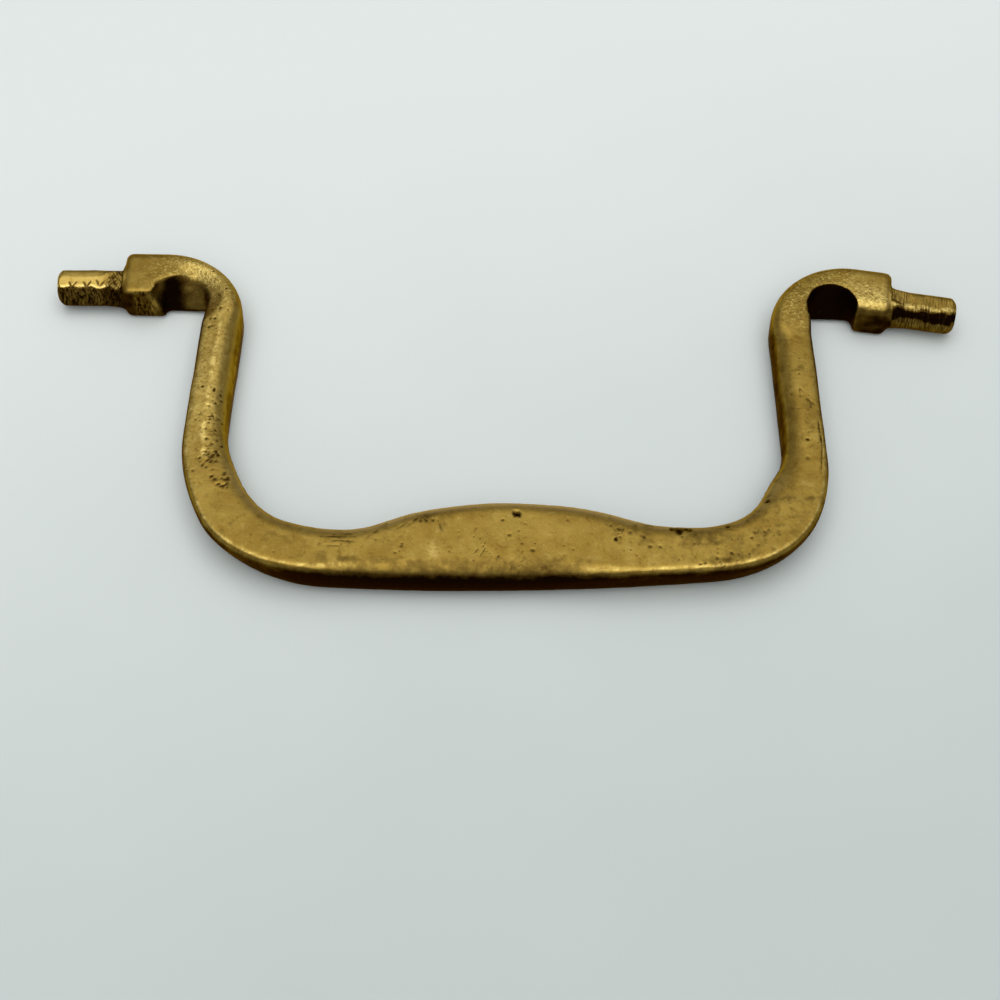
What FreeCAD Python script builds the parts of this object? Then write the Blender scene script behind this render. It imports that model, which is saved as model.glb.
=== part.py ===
"""Cast brass swan-neck bail of a drawer pull, lying on its back as it comes to rest.

One solid casting. X runs along the pins, +Y from the grip towards the pins and +Z up out of the front
face. Millimetres. The outline is drawn about the pivot line, and the finished bail is then moved so that
the middle of its footprint is the origin. The bail was bent by hand: its left leg is the longer, and its
right boss and pin droop towards the grip, so those sizes are given for each side.
"""
import FreeCAD
import Part
import math
import os
import Sketcher

SIZES = (
    ("post_centres", 101.6, "middle of one pin to the middle of the other, the posts' spacing of 4 in"),
    ("pin_length", 8.1, "shoulder to tip"),
    ("pin_diameter", 4.5, "round journal that turns in the post"),
    ("pin_root_step", 0.075, "front and back faces to the wide end of the pin's taper, at the shoulder"),
    ("pin_root_length", 2.2, "length of that taper"),
    ("pin_tip_chamfer", 0.6, "filed bevel round the tip"),
    ("pin_flat_depth", 0.25, "flat filed along the front of the journal"),
    ("left_droop", 1.0, "degrees that the left boss and pin lean towards the grip"),
    ("right_droop", 8.0, "degrees that the right boss and pin lean towards the grip"),
    ("boss_back", 4.2, "pivot axis to the boss's far side"),
    ("boss_front", 2.73, "pivot axis to the boss's side nearest the grip"),
    ("bend_radius", 9.6, "outside of the swan-neck bend"),
    ("left_notch_radius", 2.65, "hollow filed under the left bend, between the arm and the boss"),
    ("right_notch_radius", 2.95, "hollow filed under the right bend"),
    ("notch_bite", 0.15, "how far each hollow cuts into the arm's outside"),
    ("left_notch_wall", 4.2, "metal between the left hollow and the far side of its boss"),
    ("right_notch_wall", 3.75, "metal between the right hollow and the far side of its boss"),
    ("swan_neck_reach", 16.65, "middle of a pin to the middle line of its arm, along the pivot axis"),
    ("arm_splay", 1.5, "degrees that each arm spreads towards the grip"),
    ("bar_width", 4.7, "arm, across its front face"),
    ("bar_thickness", 5.15, "front face to back face"),
    ("drop", 41.9, "pivot axis to the grip's outer edge, at the middle"),
    ("grip_tilt", 2.3, "degrees that the grip leans, from the longer left leg to the right one"),
    ("grip_bow_radius", 290.0, "gentle bow of the grip's outer edge"),
    ("grip_width", 10.1, "swelled middle of the grip"),
    ("neck_width", 6.6, "narrow ends of the grip"),
    ("neck_length", 0.4, "straight stretch of the left neck, before its corner"),
    ("swell_foot_radius", 12.0, "hollow where the swell rises from a neck"),
    ("left_outer_corner", 18.1, "outside radius of the left corner"),
    ("left_inner_corner", 13.4, "inside radius of the left corner"),
    ("right_outer_corner", 14.9, "outside radius of the right corner"),
    ("right_inner_corner", 11.8, "inside radius of the right corner"),
    ("inner_edge_roll", 1.5, "soft roll of the front edge on the side of the fingers"),
    ("outer_edge_roll", 0.7, "crisper roll of the front edge outside"),
    ("back_edge_roll", 0.9, "roll of the back's edges on the side of the fingers and round the bosses"),
    ("outer_back_roll", 2.2, "full roll of the back's edge outside"),
    ("left_boss_roll", 0.4, "crisp edge of the left boss above its side nearest the grip"),
    ("right_boss_roll", 1.5, "soft edge of the right boss above that side"),
    ("boss_corner_roll", 0.8, "boss's upright corner between that side and its shoulder"),
)
LEFT, RIGHT = -1, 1
SIDE_NAMES = {LEFT: "left", RIGHT: "right"}
SQUARE_JOINTS = ({"outside", "notch"}, {"notch", "near"}, {"near", "shoulder"}, {"shoulder", "far"})
START, END, CENTRE = 1, 2, 3
ROOT_POINT, X_AXIS, Y_AXIS = (-1, 1), -1, -2


def vector(x, y, z=0.0):
    """Return a vector, flat unless a height is given."""
    return FreeCAD.Vector(x, y, z)


def heading(degrees):
    """Return the unit vector at an angle from +X."""
    return vector(math.cos(math.radians(degrees)), math.sin(math.radians(degrees)))


def quarter_turn(direction):
    """Return a direction turned by a quarter turn to the left."""
    return vector(-direction.y, direction.x)


def crossing(point, direction, other_point, other_direction):
    """Return where two lines cross."""
    normal = quarter_turn(other_direction)
    return point + direction * ((other_point - point).dot(normal) / direction.dot(normal))


def foot(point, direction, centre):
    """Return the point of a line that is nearest to a centre."""
    return point + direction * (centre - point).dot(direction)


def circle_exit(point, direction, centre, radius):
    """Return where a line leaves a circle."""
    offset = point - centre
    along = offset.dot(direction)
    return point + direction * (math.sqrt(along ** 2 - offset.dot(offset) + radius ** 2) - along)


def fill_sheet(doc):
    """Write the driving dimensions into a spreadsheet, one named row each, and return it."""
    sheet = doc.addObject("Spreadsheet::Sheet", "sizes")
    for row, (alias, value, meaning) in enumerate(SIZES, start=1):
        sheet.set(f"A{row}", alias)
        sheet.set(f"B{row}", str(value))
        sheet.set(f"C{row}", meaning)
        sheet.setAlias(f"B{row}", alias)
    doc.recompute()
    return sheet


class Drawing:
    """A sketch drawn piece by piece, with its dimensions bound to the sheet."""

    def __init__(self, body, name, height=None):
        self.sketch = body.newObject("Sketcher::SketchObject", name)
        plane = next(item for item in body.Origin.OriginFeatures if item.Role == "XY_Plane")
        self.sketch.AttachmentSupport = (plane, "")
        self.sketch.MapMode = "FlatFace"
        if height:
            self.sketch.setExpression("AttachmentOffset.Base.z", height)
        self.ends = {}

    def line(self, start, end, construction=False):
        """Draw a straight piece and return its number."""
        number = self.sketch.addGeometry(Part.LineSegment(start, end), construction)
        self.ends[number] = (START, END)
        return number

    def arc(self, centre, start, end, clockwise=False):
        """Draw a round piece, walked from start to end, and return its number."""
        low, high = (end, start) if clockwise else (start, end)
        circle = Part.Circle(centre, vector(0, 0, 1), (start - centre).Length)
        angles = [math.atan2(p.y - centre.y, p.x - centre.x) for p in (low, high)]
        number = self.sketch.addGeometry(Part.ArcOfCircle(circle, *angles), False)
        self.ends[number] = (END, START) if clockwise else (START, END)
        return number

    def point(self, place):
        """Draw a construction point and return its number."""
        return self.sketch.addGeometry(Part.Point(place), True)

    def join(self, first, second, smooth=True):
        """Join the end of one piece to the start of the next, smoothly or as a corner."""
        kind = "Tangent" if smooth else "Coincident"
        self.rule(kind, first, self.ends[first][1], second, self.ends[second][0])

    def rule(self, kind, *items):
        """Add a geometric constraint."""
        self.sketch.addConstraint(Sketcher.Constraint(kind, *items))

    def size(self, name, expression, kind, *items):
        """Add a dimension and bind it to an expression in the sheet's names."""
        number = self.sketch.addConstraint(Sketcher.Constraint(kind, *items))
        self.sketch.renameConstraint(number, name)
        self.sketch.setExpression(f"Constraints.{name}", expression)

    def middle(self, number):
        """Return the middle of a drawn piece, in the sketch's plane."""
        piece = self.sketch.Geometry[number]
        return piece.value((piece.FirstParameter + piece.LastParameter) / 2)


class SidePlan:
    """Where the lines and arcs of one side of the outline meet, worked out from the sizes."""

    def __init__(self, side, size, swell_reach=None):
        name = SIDE_NAMES[side]
        outer, inner = size[f"{name}_outer_corner"], size[f"{name}_inner_corner"]
        self.outward = vector(side * math.cos(math.radians(size["arm_splay"])),
                              math.sin(math.radians(size["arm_splay"])))
        down = vector(side * self.outward.y, -abs(self.outward.x))
        self.arm_top = vector(side * (size["post_centres"] / 2 - size["swan_neck_reach"]), 0)
        self.arm_end = self.arm_top + down * size["drop"]
        outside = self.arm_top + self.outward * (size["bar_width"] / 2)
        inside = self.arm_top - self.outward * (size["bar_width"] / 2)

        along = heading(size["grip_tilt"])
        across = quarter_turn(along)
        grip = vector(0, -size["drop"])
        self.bow_centre = grip + across * size["grip_bow_radius"]
        self.outer_centre = circle_exit(outside - self.outward * outer, down, self.bow_centre,
                                        size["grip_bow_radius"] - outer)
        self.outer_arm = foot(outside, down, self.outer_centre)
        reach = self.outer_centre - self.bow_centre
        self.outer_bow = self.bow_centre + reach * (size["grip_bow_radius"] / reach.Length)

        neck = grip + across * size["neck_width"]
        self.inner_centre = crossing(neck + across * inner, along, inside - self.outward * inner, down)
        self.inner_arm = foot(inside, down, self.inner_centre)
        self.inner_neck = foot(neck, along, self.inner_centre)
        self.swell_reach = swell_reach or (self.inner_neck - neck).Length - size["neck_length"]
        rise = size["grip_width"] - size["neck_width"]
        crown = (self.swell_reach ** 2 + rise ** 2) / (2 * rise) - size["swell_foot_radius"]
        self.foot_neck = neck + along * (side * self.swell_reach)
        self.foot_centre = self.foot_neck + across * size["swell_foot_radius"]
        self.crown_centre = neck + across * (rise - crown)
        to_foot = self.foot_centre - self.crown_centre
        self.foot_crown = self.crown_centre + to_foot * (crown / to_foot.Length)

        droop = math.radians(size[f"{name}_droop"])
        self.pin_way = vector(side * math.cos(droop), -math.sin(droop))
        far_way = vector(side * math.sin(droop), math.cos(droop))
        self.pin_root = vector(side * (size["post_centres"] - size["pin_length"]) / 2, 0)
        self.shoulder_far = self.pin_root + far_way * size["boss_back"]
        self.shoulder_near = self.pin_root - far_way * size["boss_front"]
        bend = size["bend_radius"]
        self.bend_centre = crossing(self.shoulder_far - far_way * bend, self.pin_way,
                                    inside + self.outward * bend, down)
        self.bend_boss = foot(self.shoulder_far, self.pin_way, self.bend_centre)
        self.bend_arm = foot(inside, down, self.bend_centre)

        notch = size[f"{name}_notch_radius"]
        self.notch_reach = notch - size["notch_bite"]
        self.notch_drop = notch + size[f"{name}_notch_wall"]
        self.notch_centre = crossing(outside + self.outward * self.notch_reach, down,
                                     self.shoulder_far - far_way * self.notch_drop, self.pin_way)
        self.notch_arm = circle_exit(outside, down, self.notch_centre, notch)
        self.notch_boss = circle_exit(self.shoulder_near, self.pin_way, self.notch_centre, notch)


def draw_outline(body, size):
    """Draw the bail's front outline and return the drawing and the pieces of its edges by name."""
    left = SidePlan(LEFT, size)
    right = SidePlan(RIGHT, size, left.swell_reach)
    draw = Drawing(body, "front_outline")
    pieces = {}

    # round the outline with the metal on the left, starting with the grip's outer edge
    pieces["bow"] = draw.arc(left.bow_centre, left.outer_bow, right.outer_bow)
    pieces["right_outer"] = draw.arc(right.outer_centre, right.outer_bow, right.outer_arm)
    pieces["right_outside"] = draw.line(right.outer_arm, right.notch_arm)
    pieces["right_notch"] = draw.arc(right.notch_centre, right.notch_arm, right.notch_boss, True)
    pieces["right_near"] = draw.line(right.notch_boss, right.shoulder_near)
    pieces["right_shoulder"] = draw.line(right.shoulder_near, right.shoulder_far)
    pieces["right_far"] = draw.line(right.shoulder_far, right.bend_boss)
    pieces["right_bend"] = draw.arc(right.bend_centre, right.bend_boss, right.bend_arm)
    pieces["right_inside"] = draw.line(right.bend_arm, right.inner_arm)
    pieces["right_inner"] = draw.arc(right.inner_centre, right.inner_arm, right.inner_neck, True)
    pieces["right_neck"] = draw.line(right.inner_neck, right.foot_neck)
    pieces["right_foot"] = draw.arc(right.foot_centre, right.foot_neck, right.foot_crown, True)
    pieces["crown"] = draw.arc(left.crown_centre, right.foot_crown, left.foot_crown)
    pieces["left_foot"] = draw.arc(left.foot_centre, left.foot_crown, left.foot_neck, True)
    pieces["left_neck"] = draw.line(left.foot_neck, left.inner_neck)
    pieces["left_inner"] = draw.arc(left.inner_centre, left.inner_neck, left.inner_arm, True)
    pieces["left_inside"] = draw.line(left.inner_arm, left.bend_arm)
    pieces["left_bend"] = draw.arc(left.bend_centre, left.bend_arm, left.bend_boss)
    pieces["left_far"] = draw.line(left.bend_boss, left.shoulder_far)
    pieces["left_shoulder"] = draw.line(left.shoulder_far, left.shoulder_near)
    pieces["left_near"] = draw.line(left.shoulder_near, left.notch_boss)
    pieces["left_notch"] = draw.arc(left.notch_centre, left.notch_boss, left.notch_arm, True)
    pieces["left_outside"] = draw.line(left.notch_arm, left.outer_arm)
    pieces["left_outer"] = draw.arc(left.outer_centre, left.outer_arm, left.outer_bow)

    names = list(pieces)
    for first, second in zip(names, names[1:] + names[:1]):
        kinds = {first.split("_")[-1], second.split("_")[-1]}
        draw.join(pieces[first], pieces[second], smooth=kinds not in SQUARE_JOINTS)

    # the grip's middle line, from its outer edge to the crown of its swell
    grip = vector(0, -size["drop"])
    axis = draw.line(grip, grip + quarter_turn(heading(size["grip_tilt"])) * size["grip_width"], True)
    draw.rule("PointOnObject", axis, START, Y_AXIS)
    draw.size("grip_drop", "sizes.drop", "DistanceY", axis, START, *ROOT_POINT, size["drop"])
    draw.size("grip_lean", "sizes.grip_tilt + 90", "Angle", axis, math.radians(size["grip_tilt"] + 90))
    draw.size("grip_middle", "sizes.grip_width", "Distance", axis, size["grip_width"])
    draw.rule("PointOnObject", axis, END, pieces["crown"])
    draw.rule("PointOnObject", axis, START, pieces["bow"])
    draw.rule("PointOnObject", pieces["bow"], CENTRE, axis)
    draw.size("bow", "sizes.grip_bow_radius", "Radius", pieces["bow"], size["grip_bow_radius"])
    draw.size("neck", "sizes.neck_width", "Distance", axis, START, pieces["left_neck"], size["neck_width"])
    draw.size("neck_run", "sizes.neck_length", "Distance", pieces["left_neck"], size["neck_length"])
    draw.rule("Symmetric", pieces["left_neck"], START, pieces["right_neck"], END, axis)

    for side, plan in ((LEFT, left), (RIGHT, right)):
        name = SIDE_NAMES[side]
        part = {key[len(name) + 1:]: value for key, value in pieces.items() if key.startswith(name)}
        draw.rule("Perpendicular", part["neck"], axis)
        for key, alias in (("outer", f"{name}_outer_corner"), ("inner", f"{name}_inner_corner"),
                           ("foot", "swell_foot_radius"), ("bend", "bend_radius"),
                           ("notch", f"{name}_notch_radius")):
            draw.size(f"{name}_{key}_radius", f"sizes.{alias}", "Radius", part[key], size[alias])
        # the arm's middle line
        arm = draw.line(plan.arm_top, plan.arm_end, True)
        draw.rule("PointOnObject", arm, START, X_AXIS)
        draw.size(f"{name}_arm_place", "sizes.post_centres / 2 - sizes.swan_neck_reach", "Distance",
                  arm, START, *ROOT_POINT, plan.arm_top.Length)
        lean = -90 + side * size["arm_splay"]
        draw.size(f"{name}_arm_lean", f"-90 + {side} * sizes.arm_splay", "Angle", arm, math.radians(lean))
        draw.size(f"{name}_arm_length", "sizes.drop", "Distance", arm, size["drop"])
        for key in ("outside", "inside"):
            draw.rule("Parallel", part[key], arm)
            draw.size(f"{name}_{key}_gap", "sizes.bar_width / 2", "Distance", arm, START, part[key],
                      size["bar_width"] / 2)
        # the boss, square to its pin
        root = draw.point(plan.pin_root)
        reach = (size["post_centres"] - size["pin_length"]) / 2
        draw.rule("PointOnObject", root, START, X_AXIS)
        draw.size(f"{name}_root_place", "(sizes.post_centres - sizes.pin_length) / 2", "Distance",
                  root, START, *ROOT_POINT, reach)
        near, shoulder, far = part["near"], part["shoulder"], part["far"]
        draw.rule("PointOnObject", root, START, shoulder)
        draw.rule("Perpendicular", near, shoulder)
        draw.rule("Parallel", near, far)
        draw.size(f"{name}_near_lean", f"-{side} * sizes.{name}_droop", "Angle", near,
                  -side * math.radians(size[f"{name}_droop"]))
        draw.size(f"{name}_boss_front", "sizes.boss_front", "Distance", root, START, near,
                  size["boss_front"])
        draw.size(f"{name}_boss_back", "sizes.boss_back", "Distance", root, START, far,
                  size["boss_back"])
        draw.size(f"{name}_notch_place", f"sizes.{name}_notch_radius + sizes.{name}_notch_wall",
                  "Distance", part["notch"], CENTRE, far, plan.notch_drop)
        draw.size(f"{name}_notch_reach", f"sizes.{name}_notch_radius - sizes.notch_bite",
                  "Distance", part["notch"], CENTRE, part["outside"], plan.notch_reach)
    return draw, pieces


def edge_at(shape, place):
    """Return the name of the edge that passes nearest to a place."""
    vertex = Part.Vertex(place)
    gaps = [edge.distToShape(vertex)[0] for edge in shape.Edges]
    return f"Edge{gaps.index(min(gaps)) + 1}"


def roll_edges(body, name, base, places, alias):
    """Round the edges of a feature that pass through some places and return the new feature."""
    fillet = body.newObject("PartDesign::Fillet", name)
    fillet.Base = (base, sorted({edge_at(base.Shape, place) for place in places}))
    fillet.setExpression("Radius", f"sizes.{alias}")
    body.Document.recompute()
    return fillet


def add_pin(body, side, size):
    """Turn one pin on its own axis, with a tapered root and a bevelled tip, and return it."""
    name = SIDE_NAMES[side]
    plan = SidePlan(side, size)
    out = plan.pin_way
    away = quarter_turn(out)
    length, chamfer = size["pin_length"], size["pin_tip_chamfer"]
    journal, root = size["pin_diameter"] / 2, size["bar_thickness"] / 2 - size["pin_root_step"]

    def at(along, across):
        return plan.pin_root + out * along + away * across

    corners = (at(0, 0), at(length, 0), at(length, journal - chamfer), at(length - chamfer, journal),
               at(size["pin_root_length"], journal), at(0, root))
    draw = Drawing(body, f"{name}_pin_profile", "sizes.bar_thickness / 2")
    lines = [draw.line(a, b) for a, b in zip(corners, corners[1:] + corners[:1])]
    axis, tip, bevel, wall, taper, shoulder = lines
    for first, second in zip(lines, lines[1:] + lines[:1]):
        draw.join(first, second, smooth=False)
    draw.rule("PointOnObject", axis, START, X_AXIS)
    draw.size("place", "(sizes.post_centres - sizes.pin_length) / 2", "Distance", axis, START, *ROOT_POINT,
              (size["post_centres"] - length) / 2)
    lean = -size["right_droop"] if side == RIGHT else 180 + size["left_droop"]
    expression = "-sizes.right_droop" if side == RIGHT else "180 + sizes.left_droop"
    draw.size("lean", expression, "Angle", axis, math.radians(lean))
    draw.rule("Perpendicular", axis, tip)
    draw.rule("Perpendicular", axis, shoulder)
    draw.rule("Parallel", axis, wall)
    draw.size("length", "sizes.pin_length", "Distance", axis, length)
    draw.size("radius", "sizes.pin_diameter / 2", "Distance", wall, START, axis, journal)
    draw.size("root_radius", "sizes.bar_thickness / 2 - sizes.pin_root_step", "Distance", shoulder, root)
    draw.size("root_length", "sizes.pin_root_length", "Distance", wall, END, shoulder,
              size["pin_root_length"])
    draw.size("tip_radius", "sizes.pin_diameter / 2 - sizes.pin_tip_chamfer", "Distance", tip,
              journal - chamfer)
    draw.size("tip_bevel", "sizes.pin_tip_chamfer", "Distance", wall, START, tip, chamfer)
    pin = body.newObject("PartDesign::Revolution", f"{name}_pin")
    pin.Profile = draw.sketch
    pin.ReferenceAxis = (draw.sketch, ["Edge1"])
    pin.Angle = 360.0
    draw.sketch.Document.recompute()
    return pin


def file_pin(body, side, size):
    """File a flat along the front of one pin's journal and return the cut."""
    name = SIDE_NAMES[side]
    plan = SidePlan(side, size)
    out = plan.pin_way
    away = quarter_turn(out)
    start, length, breadth = size["pin_root_length"], size["pin_length"], size["pin_diameter"]

    def at(along, across):
        return plan.pin_root + out * along + away * across

    corners = (at(start, -breadth / 2), at(length, -breadth / 2), at(length, breadth / 2),
               at(start, breadth / 2))
    height = "sizes.bar_thickness / 2 + sizes.pin_diameter / 2 - sizes.pin_flat_depth"
    draw = Drawing(body, f"{name}_pin_flat_outline", height)
    lines = [draw.line(a, b) for a, b in zip(corners, corners[1:] + corners[:1])]
    near, tip, far, inner = lines
    for first, second in zip(lines, lines[1:] + lines[:1]):
        draw.join(first, second, smooth=False)
    axis = draw.line(at(0, 0), at(length, 0), True)
    draw.rule("PointOnObject", axis, START, X_AXIS)
    draw.size("place", "(sizes.post_centres - sizes.pin_length) / 2", "Distance", axis, START, *ROOT_POINT,
              (size["post_centres"] - length) / 2)
    lean = -size["right_droop"] if side == RIGHT else 180 + size["left_droop"]
    expression = "-sizes.right_droop" if side == RIGHT else "180 + sizes.left_droop"
    draw.size("lean", expression, "Angle", axis, math.radians(lean))
    draw.size("length", "sizes.pin_length", "Distance", axis, length)
    draw.rule("Parallel", near, axis)
    draw.rule("Parallel", far, axis)
    draw.rule("Perpendicular", tip, axis)
    draw.rule("Perpendicular", inner, axis)
    draw.rule("PointOnObject", axis, END, tip)
    draw.size("start", "sizes.pin_root_length", "Distance", axis, START, inner, start)
    draw.size("near_side", "sizes.pin_diameter / 2", "Distance", axis, START, near, breadth / 2)
    draw.size("far_side", "sizes.pin_diameter / 2", "Distance", axis, START, far, breadth / 2)
    cut = body.newObject("PartDesign::Pocket", f"{name}_pin_flat")
    cut.Profile = draw.sketch
    cut.Reversed = True
    cut.setExpression("Length", "sizes.pin_diameter / 2")
    draw.sketch.Document.recompute()
    return cut


def build(doc):
    """Build the bail as one body and return it."""
    sheet = fill_sheet(doc)
    size = {alias: float(sheet.get(alias)) for alias, _, _ in SIZES}
    body = doc.addObject("PartDesign::Body", "bail")
    draw, pieces = draw_outline(body, size)
    bar = body.newObject("PartDesign::Pad", "bar")
    bar.Profile = draw.sketch
    bar.setExpression("Length", "sizes.bar_thickness")
    doc.recompute()

    def places(names, height):
        lift = vector(0, 0, height)
        return [draw.middle(pieces[name]) + lift for name in names]

    front, back = size["bar_thickness"], 0.0
    finger_side, outside = ("crown", "left_far", "right_far"), ("bow",)
    notches, nears = ("left_notch", "right_notch"), ("left_near", "right_near")
    corners = [SidePlan(side, size).shoulder_near + vector(0, 0, front / 2) for side in (LEFT, RIGHT)]
    rolled = roll_edges(body, "finger_side_roll", bar, places(finger_side, front), "inner_edge_roll")
    rolled = roll_edges(body, "outside_roll", rolled, places(outside, front), "outer_edge_roll")
    rolled = roll_edges(body, "back_roll", rolled, places(("crown",), back), "back_edge_roll")
    rolled = roll_edges(body, "outside_back_roll", rolled, places(outside, back), "outer_back_roll")
    rolled = roll_edges(body, "boss_back_roll", rolled, places(notches + nears, back), "back_edge_roll")
    for near, side in zip(nears, (LEFT, RIGHT)):
        name = f"{SIDE_NAMES[side]}_boss_roll"
        rolled = roll_edges(body, name, rolled, places((near,), front), name)
    roll_edges(body, "boss_corner", rolled, corners, "boss_corner_roll")
    for side in (LEFT, RIGHT):
        add_pin(body, side, size)
    for side in (LEFT, RIGHT):
        whole = body.Shape.Volume
        file_pin(body, side, size)
        if body.Shape.Volume >= whole:
            raise RuntimeError(f"the {SIDE_NAMES[side]} pin's flat cut nothing")

    box = body.Shape.optimalBoundingBox()
    body.Placement.Base = vector(-box.Center.x, -box.Center.y, -box.ZMin)
    doc.recompute()
    return body


def check(doc, bodies):
    """Stop if any object of the document failed or a body has no sound single solid."""
    for item in doc.Objects:
        if {"Invalid", "Error"} & set(item.State):
            raise RuntimeError(f"{item.Name} failed: {item.State}")
    for body in bodies:
        if body.Shape.isNull() or not body.Shape.isValid() or len(body.Shape.Solids) != 1:
            raise RuntimeError(f"{body.Label} is not one sound solid")


def main():
    """Build the document, check it and write the bail's solid."""
    doc = FreeCAD.newDocument("drawer_bail")
    bail = build(doc)
    bail.Label = "bail"
    check(doc, [bail])
    os.makedirs("parts", exist_ok=True)
    bail.Shape.exportStep(f"parts/{bail.Label}.step")


main()
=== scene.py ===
"""A worn brass swan-neck drawer bail, lying on its back on a pale table.

Sizes are in millimetres in the frame of the casting: the front face is up, the pins run along X and
the grip is towards minus Y. A mesh is scaled to metres when it becomes a piece.
"""
import logging
import math
from dataclasses import dataclass, replace
from enum import Enum
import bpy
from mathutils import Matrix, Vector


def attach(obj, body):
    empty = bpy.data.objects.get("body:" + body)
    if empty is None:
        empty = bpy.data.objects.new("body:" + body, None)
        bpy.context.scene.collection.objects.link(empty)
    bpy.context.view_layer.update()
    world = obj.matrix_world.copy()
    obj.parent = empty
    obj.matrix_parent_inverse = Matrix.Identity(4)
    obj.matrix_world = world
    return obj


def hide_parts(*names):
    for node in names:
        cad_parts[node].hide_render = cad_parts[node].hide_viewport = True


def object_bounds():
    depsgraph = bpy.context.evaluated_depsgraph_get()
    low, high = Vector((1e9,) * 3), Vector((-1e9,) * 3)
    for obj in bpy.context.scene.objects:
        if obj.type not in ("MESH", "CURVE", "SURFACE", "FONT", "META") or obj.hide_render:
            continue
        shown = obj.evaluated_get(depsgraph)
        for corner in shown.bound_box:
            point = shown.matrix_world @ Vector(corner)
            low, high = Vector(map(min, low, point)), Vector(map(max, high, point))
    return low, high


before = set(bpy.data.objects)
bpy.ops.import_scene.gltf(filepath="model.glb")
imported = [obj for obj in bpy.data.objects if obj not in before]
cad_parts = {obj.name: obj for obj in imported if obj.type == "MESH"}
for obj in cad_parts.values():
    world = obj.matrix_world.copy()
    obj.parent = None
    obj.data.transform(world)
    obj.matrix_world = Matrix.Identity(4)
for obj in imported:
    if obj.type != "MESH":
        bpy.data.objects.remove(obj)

from types import SimpleNamespace

import bmesh
import bpy
import numpy as np
from mathutils import Matrix, Vector, kdtree, noise

CAD_BOX = [list(corner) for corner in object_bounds()]
MM = 0.001
TOUCH = 0.001
SCREEN_FULL = 255.0
SCREEN_KNEE = 0.04045
SCREEN_SLOPE = 12.92
SCREEN_LIFT = 0.055
SCREEN_POWER = 2.4
CLOUD_SHIFT = (17.3, 5.9, 11.1)
CLOUD_FADE = 1.0
CLOUD_FINER = 2.0
MIX_SHARE, MIX_FIRST, MIX_SECOND, MIX_RESULT = 0, 6, 7, 2
log = logging.getLogger("bail")

Array = np.ndarray
Socket = bpy.types.NodeSocket
Point = tuple[float, float, float]
Colour = tuple[int, int, int]
Rise = tuple[float, float]
Bounds = tuple[float, ...]
Survey = dict[str, Array]


class Skin(Enum):
    """The layers on the brass that each point of the casting carries."""

    # Tarnish, with painted shade in it.
    TARNISH = "tarnish"
    # Rubbed wear, with painted highlights in it.
    WORN = "worn"
    # A pale film with a painted reflection of the table.
    FILM = "film"
    PITTED = "pitted"
    GRAINY = "grainy"
    FILED = "filed"
    HATCHED = "hatched"


class Side(Enum):
    """The two ends of the bail, as seen from the front."""

    LEFT = -1
    RIGHT = 1


def linear(colour: Colour) -> tuple[float, ...]:
    """Turns a colour as seen on a screen into the light it stands for.

    Args:
        colour: Red, green and blue from 0 to 255.

    Returns:
        Red, green and blue as linear values, and full opacity.
    """
    parts = []
    for channel in colour:
        share = channel / SCREEN_FULL
        lifted = (share + SCREEN_LIFT) / (1.0 + SCREEN_LIFT)
        parts.append(share / SCREEN_SLOPE if share <= SCREEN_KNEE else lifted ** SCREEN_POWER)
    return (*parts, 1.0)


def ramp(values: Array, start: float | Array, end: float) -> Array:
    """Rises smoothly from 0 at start to 1 at end, or falls where end is less.

    Args:
        values: The numbers to grade.
        start: Where the grade is 0.
        end: Where the grade is 1.

    Returns:
        A grade from 0 to 1 for each number.
    """
    share = np.clip((values - start) / (end - start), 0.0, 1.0)
    return share * share * (3.0 - 2.0 * share)


def finished(shape: bmesh.types.BMesh, name: str) -> bpy.types.Object:
    """Turns a worked shape into an object in the scene.

    Args:
        shape: The shape, used up by this.
        name: The object's name.

    Returns:
        The object.
    """
    mesh = bpy.data.meshes.new(name)
    shape.to_mesh(mesh)
    shape.free()
    made = bpy.data.objects.new(name, mesh)
    bpy.context.scene.collection.objects.link(made)
    return made


@dataclass(frozen=True)
class Cloud:
    """A soft cloudy pattern in the metal, its clouds one scale apart in millimetres."""

    scale: float
    octaves: int
    seed: float
    amount: float = 1.0
    base: float = 0.0

    def at(self, points: Array) -> Array:
        """Grades points by the pattern.

        Args:
            points: The places.

        Returns:
            The base, and about the amount more or less, for each point.
        """
        shift = Vector([self.seed * part for part in CLOUD_SHIFT])
        places = (Vector(point) / self.scale + shift for point in points)
        clouds = [noise.fractal(place, CLOUD_FADE, CLOUD_FINER, self.octaves) for place in places]
        return self.base + self.amount * np.array(clouds)


@dataclass(frozen=True)
class Spot:
    """A round or squashed spot of the casting, seen from the front, that fades from its core to its rim."""

    x: float
    y: float
    rim: float
    core: float
    squash: float = 1.0


@dataclass(frozen=True)
class Zone:
    """A soft-edged part of the casting, and how strongly something shows there.

    Each bound is one or more pairs of numbers: where the zone's share is 0, and where it is 1.
    """

    base: float = 0.0
    amount: float = 1.0
    spot: Spot | None = None
    x: Bounds = ()
    y: Bounds = ()
    z: Bounds = ()
    up: Bounds = ()
    outer: Bounds = ()
    wall: Bounds = ()
    lean: Bounds = ()
    past: Bounds = ()
    turn: Bounds = ()

    def at(self, survey: Survey) -> Array:
        """Grades how strongly it shows at each point.

        Args:
            survey: What was measured at the points, under the names of the bounds.

        Returns:
            The base, and up to the amount more inside all the bounds.
        """
        share = np.ones(len(survey["x"]))
        for name, values in survey.items():
            bounds = getattr(self, name)
            for start, end in zip(bounds[0::2], bounds[1::2]):
                share *= ramp(values, start, end)
        if self.spot is not None:
            spot = self.spot
            away = np.hypot(survey["x"] - spot.x, (survey["y"] - spot.y) * spot.squash)
            share *= ramp(away, spot.rim, spot.core)
        return self.base + self.amount * share


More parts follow.
